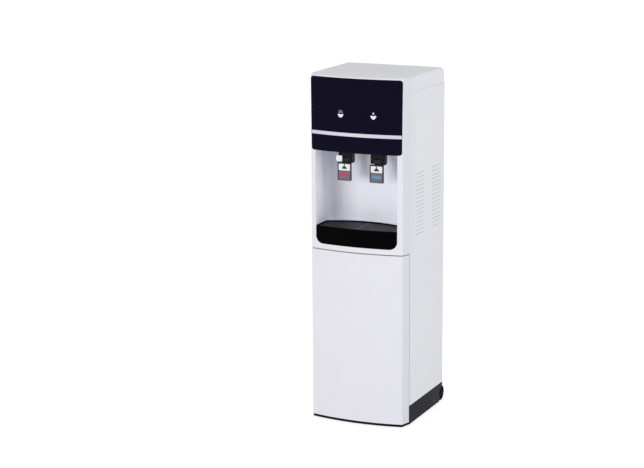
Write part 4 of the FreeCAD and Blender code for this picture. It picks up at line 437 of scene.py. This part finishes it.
# ---- Printed signs ----
# White screen printed signs on the fascia, over the lenses: a bowl with steam for hot
# water and a bowl with a snow star for cold. Each lever's label has a black pouring sign
# on white above a grey field with a red or blue bar. Sizes here are in mm.
fascia_front, bow_radius, lever_front = -179.5, 638.2, -134.5
ink_sunk, ink_proud, bar_proud, film_proud = 0.02, 0.12, 0.16, 0.1


def bow_y(x):
    """The y of the fascia's bowed front at x, for the signs on it."""
    return fascia_front + bow_radius - math.sqrt(bow_radius ** 2 - x ** 2)


def flat_y(x):
    """The y of the levers' flat front, the same at every x."""
    return lever_front


def printed(name, outlines, face, proud, body, material):
    """Thin ink or film, from outlines in mm as (x, z) points, that follows a face."""
    mesh = bpy.data.meshes.new(name)
    form = bmesh.new()
    for outline in outlines:
        front = form.faces.new([form.verts.new((x, face(x) + ink_sunk, z)) for x, z in outline])
        raised = bmesh.ops.extrude_face_region(form, geom=[front])["geom"]
        moved = [part for part in raised if isinstance(part, bmesh.types.BMVert)]
        bmesh.ops.translate(form, verts=moved, vec=(0, -proud - ink_sunk, 0))
    bmesh.ops.scale(form, verts=form.verts, vec=(0.001, 0.001, 0.001))
    bmesh.ops.recalc_face_normals(form, faces=form.faces)
    bmesh.ops.triangulate(form, faces=form.faces)
    form.to_mesh(mesh)
    form.free()
    piece = new_piece(name, mesh)
    mesh.materials.append(material)
    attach(piece, body)


def arc(x, z, radius_x, radius_z, start, end, steps=14):
    """Points on an ellipse from one angle to another, in degrees."""
    turns = [math.radians(start + (end - start) * step / steps) for step in range(steps + 1)]
    return [(x + radius_x * math.cos(a), z + radius_z * math.sin(a)) for a in turns]


def wave(x, z, height, width, swing, steps=10):
    """A rising wisp of steam that swings to each side of x."""
    rise = [step / steps for step in range(steps + 1)]
    sway = [swing * math.sin(2 * math.pi * share) for share in rise]
    left = [(x + s - width / 2, z + share * height) for share, s in zip(rise, sway)]
    right = [(x + s + width / 2, z + share * height) for share, s in zip(rise, sway)]
    return left + right[::-1]


def ink(name, colour, deep, grain=0.03, gloss=(0.3, 0.4)):
    """A screen printed ink or label film."""
    return finish(name, colour, deep, grain=(2500, grain), gloss=gloss)


hot_x, cold_x, sign_z = -45.0, 61.0, 964.0
print_white = ink("print_white", (240, 238, 246), (232, 230, 238))
print_steam = ink("print_steam", (196, 192, 206), (186, 182, 198))
hot_bowl = [(hot_x + 4, sign_z + 1), (hot_x, sign_z), (hot_x - 4, sign_z + 1)]
hot_bowl += arc(hot_x, sign_z + 2, 9.0, 11, 180, 360)
printed("hot_sign", [hot_bowl], bow_y, ink_proud, "cabinet", print_white)
wisps = [wave(hot_x + shift, sign_z + 4.5, 8.5, 1.4, 1.1) for shift in (-4.6, 0.0, 4.6)]
printed("hot_steam", wisps, bow_y, ink_proud, "cabinet", print_steam)
cold_z = sign_z + 0.5
bowl_shape = [(-9, 0), (-5, 2.2), (0, -0.8), (5, 2.2), (9, 0), (7.6, -4), (3, -9), (0, -10.5),
              (-3, -9), (-7.6, -4)]
cold_bowl = [(cold_x + across, cold_z + up) for across, up in bowl_shape]
star, star_points, star_tip, star_notch, star_rise = [], 6, 4.2, 1.6, 8.0
for step in range(2 * star_points):
    size, angle = (star_notch if step % 2 else star_tip), math.pi * step / star_points
    star.append((cold_x + size * math.sin(angle), cold_z + star_rise + size * math.cos(angle)))
printed("cold_sign", [cold_bowl, star], bow_y, ink_proud, "cabinet", print_white)

label_grey = ink("label_grey", (104, 100, 110), (92, 88, 98), grain=0.04, gloss=(0.25, 0.35))
label_black = ink("label_black", (18, 17, 20), (12, 11, 13))
label_red = ink("label_red", (190, 52, 92), (174, 44, 82))
label_blue = ink("label_blue", (102, 142, 172), (90, 130, 160))
field_half, field_foot, field_top = 18.4, 759.2, 785.0
bar_half, bar_round, bar_z = 11, 5.0, 772.5
pour_shape = [(-1.8, 805.5), (-1.8, 799.0), (-5.0, 798.0), (-8.4, 792.5), (-7.4, 791.0),
              (7.4, 791.0), (8.4, 792.5), (5.0, 798.0), (1.8, 799.0), (1.8, 805.5)]
for word, x, colour in (("hot", -53.0, label_red), ("cold", 53.0, label_blue)):
    lever = word + "_lever"
    field = [(x - field_half, field_foot), (x + field_half, field_foot),
             (x + field_half, field_top), (x - field_half, field_top)]
    printed(word + "_label_field", [field], flat_y, film_proud, lever, label_grey)
    bar = arc(x - bar_half, bar_z, bar_round, bar_round, 90, 270, 10)
    bar += arc(x + bar_half, bar_z, bar_round, bar_round, 270, 450, 10)
    printed(word + "_label_bar", [bar], flat_y, bar_proud, lever, colour)
    pour = [(x + across, z) for across, z in pour_shape]
    printed(word + "_label_sign", [pour], flat_y, film_proud, lever, label_black)

# ---- Drip tray and grille ----
# A deep black moulded tray that slides out of the alcove, with a slotted grille that
# lies loose in its rim. The grille is a little greyer than the tray.
tray_black = finish("tray_black", (3, 3, 4), (1, 1, 2), grain=(900, 0.08), gloss=(0.14, 0.26),
                    Specular_IOR_Level=0.02)
grille_black = finish("grille_black", (20, 16, 26), (12, 9, 17), grain=(900, 0.1),
                      gloss=(0.25, 0.4), Specular_IOR_Level=0.08)
coat(tray_black, "drip_tray")
coat(grille_black, "drip_grille")

# ---- Bay linings, deck and shelf ----
# Grey moulded linings at the bottle bay's sides, and two zinc plated sheets above the
# bay: the deck carries the compressor and the shelf the tanks. The plating shows spangle.
lining_grey = finish("lining_grey", (168, 170, 178), (148, 150, 160), grain=(900, 0.3),
                     gloss=(0.4, 0.55))
zinc_sheet = finish("zinc_sheet", (190, 193, 196), (166, 170, 174), mottle=(60, 0.9),
                    grain=(500, 0.15), gloss=(0.3, 0.5), Metallic=0.8)
coat(lining_grey, "bay_linings")
coat(zinc_sheet, "middle_deck", "tank_shelf")

# ---- Tanks, insulation, cooling circuit ----
# Stainless tanks in bead foam, copper refrigerant pipes that have dulled unevenly, and
# black enamel on the compressor and on the condenser at the back. The water lines are
# the hose's silicone.
tank_steel = finish("tank_steel", (200, 203, 206), (180, 183, 187), grain=(1800, 0.2),
                    gloss=(0.2, 0.35), Metallic=1.0)
heater_steel = finish("heater_steel", (160, 156, 150), (130, 126, 120), grain=(1200, 0.3),
                      gloss=(0.35, 0.5), Metallic=0.9)
foam = finish("foam", (232, 230, 222), (208, 205, 196), mottle=(220, 0.7), grain=(350, 0.8),
              gloss=(0.8, 0.95))
copper = finish("copper", (196, 122, 88), (150, 88, 62), mottle=(40, 0.8), grain=(900, 0.15),
                gloss=(0.25, 0.4), Metallic=1.0)
black_enamel = finish("black_enamel", (24, 24, 26), (14, 14, 16), grain=(700, 0.15),
                      gloss=(0.25, 0.4))
coat(tank_steel, "cold_tank", "hot_tank")
coat(heater_steel, "heater_band")
coat(foam, "tank_insulation")
coat(copper, "evaporator_coil", "refrigerant_lines", "filter_drier")
coat(black_enamel, "compressor", "condenser", "condenser_wires")
coat(silicone, "water_lines")

# ---- Electrics ----
# Black inlet, pump and switch housings, a grey control box, and the lamps' green board
# behind the fascia. The rocker switches at the back are red for hot and green for cold.
socket_black = finish("socket_black", (30, 30, 33), (20, 20, 22), grain=(1000, 0.3),
                      gloss=(0.35, 0.5))
control_grey = finish("control_grey", (176, 178, 181), (158, 160, 164), grain=(900, 0.3),
                      gloss=(0.4, 0.55))
board_green = finish("board_green", (30, 104, 60), (20, 82, 46), mottle=(120, 0.8),
                     grain=(600, 0.2), gloss=(0.25, 0.4))
switch_red = finish("switch_red", (190, 30, 32), (150, 20, 24), grain=(1500, 0.1),
                    gloss=(0.15, 0.25))
switch_green = finish("switch_green", (30, 140, 70), (20, 110, 54), grain=(1500, 0.1),
                      gloss=(0.15, 0.25))
coat(socket_black, "power_inlet", "switch_housings", "water_pump")
coat(control_grey, "control_box")
coat(board_green, "indicator_board")
coat(switch_red, "hot_switch")
coat(switch_green, "cold_switch")

# ---- Bottle ----
# A blow moulded bottle of clear blue plastic, 270 mm across, with a domed base, stiffening
# rings, a recessed band to grip it by and a snap cap. It stands loose on the floor plate.


def rounded_outline(corners):
    """A half outline with an arc at each corner, from (radius, height, arc radius) in mm."""
    outline = [Vector(corners[0][:2])]
    for before, corner, after in zip(corners, corners[1:], corners[2:]):
        point = Vector(corner[:2])
        back_way = (Vector(before[:2]) - point).normalized()
        on_way = (Vector(after[:2]) - point).normalized()
        half = back_way.angle(on_way) / 2
        if corner[2] == 0:
            outline.append(point)
            continue
        reach = corner[2] / math.tan(half)
        centre = point + (back_way + on_way).normalized() * corner[2] / math.sin(half)
        first, last = point + back_way * reach - centre, point + on_way * reach - centre
        steps = max(2, round(math.degrees(math.pi - 2 * half) / 11))
        for step in range(steps + 1):
            spoke = first.slerp(last, step / steps)
            outline.append(centre + spoke)
    outline.append(Vector(corners[-1][:2]))
    return outline


def lathed(name, outline, centre, segments=96):
    """A mesh turned about an upright axis through centre, from an outline in mm."""
    mesh = bpy.data.meshes.new(name)
    form = bmesh.new()
    rings = []
    for radius, height in outline:
        if radius < 0.01:
            rings.append([form.verts.new((centre[0], centre[1], centre[2] + height / 1000))])
            continue
        ring = []
        for step in range(segments):
            angle = 2 * math.pi * step / segments
            ring.append(form.verts.new((centre[0] + radius / 1000 * math.cos(angle),
                                        centre[1] + radius / 1000 * math.sin(angle),
                                        centre[2] + height / 1000)))
        rings.append(ring)
    for low, high in zip(rings, rings[1:]):
        for step in range(segments):
            after = (step + 1) % segments
            face = [low[step % len(low)], low[after % len(low)],
                    high[after % len(high)], high[step % len(high)]]
            form.faces.new(list(dict.fromkeys(face)))
    bmesh.ops.recalc_face_normals(form, faces=form.faces)
    form.to_mesh(mesh)
    form.free()
    mesh.shade_smooth()
    return new_piece(name, mesh)


bottle_low, bottle_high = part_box("bottle")
bottle_foot = ((bottle_low[0] + bottle_high[0]) / 2, (bottle_low[1] + bottle_high[1]) / 2,
               bottle_low[2])
bottle_neck, neck_bottom, neck_top = 27.5, 405.0, 494.0
bottle_wall = 0.0016
bottle_corners = [(0, 22, 0), (66, 20, 14), (98, 0.3, 7), (119, 0.3, 10), (133, 14, 12)]
for ring_height in (66, 106, 146):
    bottle_corners += [(134, ring_height, 4), (131.5, ring_height + 5, 2.5),
                       (131.5, ring_height + 9, 2.5), (134, ring_height + 14, 4)]
bottle_corners += [(134, 199, 5), (135, 205, 3), (135, 236, 5), (131, 247, 5), (127.2, 256, 6),
                   (127.2, 305, 5), (135, 314, 8), (134.8, 360, 60), (106, 391, 18), (88, 393, 3),
                   (62, 402, 10), (bottle_neck, neck_bottom + 2, 7), (bottle_neck, 430, 3),
                   (bottle_neck + 2, 432, 1.5), (bottle_neck + 2, 437, 1.5),
                   (bottle_neck, 439, 3), (bottle_neck, neck_top, 0)]
clear_bottle = lathed("water_bottle", rounded_outline(bottle_corners), bottle_foot)
walls = clear_bottle.modifiers.new("wall", "SOLIDIFY")
walls.thickness = bottle_wall
walls.offset = -1
seen = clear_bottle.evaluated_get(bpy.context.evaluated_depsgraph_get())
thick_mesh = bpy.data.meshes.new_from_object(seen)
clear_bottle.modifiers.clear()
clear_bottle.data = thick_mesh
bottle_clear, tree, shader = new_material("bottle_clear")
shader.inputs["Base Color"].default_value = srgb(204, 226, 246)
shader.inputs["Roughness"].default_value = 0.05
shader.inputs["Transmission Weight"].default_value = 1.0
shader.inputs["IOR"].default_value = 1.35
ripple = tree.nodes.new("ShaderNodeTexNoise")
ripple.inputs["Scale"].default_value = 22
place = tree.nodes.new("ShaderNodeTexCoord")
tree.links.new(place.outputs["Object"], ripple.inputs["Vector"])
waves = tree.nodes.new("ShaderNodeBump")
waves.inputs["Strength"].default_value = 0.25
waves.inputs["Distance"].default_value = 0.002
tree.links.new(ripple.outputs["Fac"], waves.inputs["Height"])
tree.links.new(waves.outputs["Normal"], shader.inputs["Normal"])
clear_bottle.data.materials.append(bottle_clear)
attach(clear_bottle, "cabinet")
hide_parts("bottle")

cap_blue = finish("cap_blue", (44, 108, 164), (32, 88, 142), grain=(1400, 0.15),
                  gloss=(0.25, 0.35))
probe_white = finish("probe_white", (228, 224, 212), (210, 206, 194), grain=(1400, 0.2),
                     gloss=(0.35, 0.5))
coat(cap_blue, "bottle_cap")
coat(probe_white, "bottle_probe")
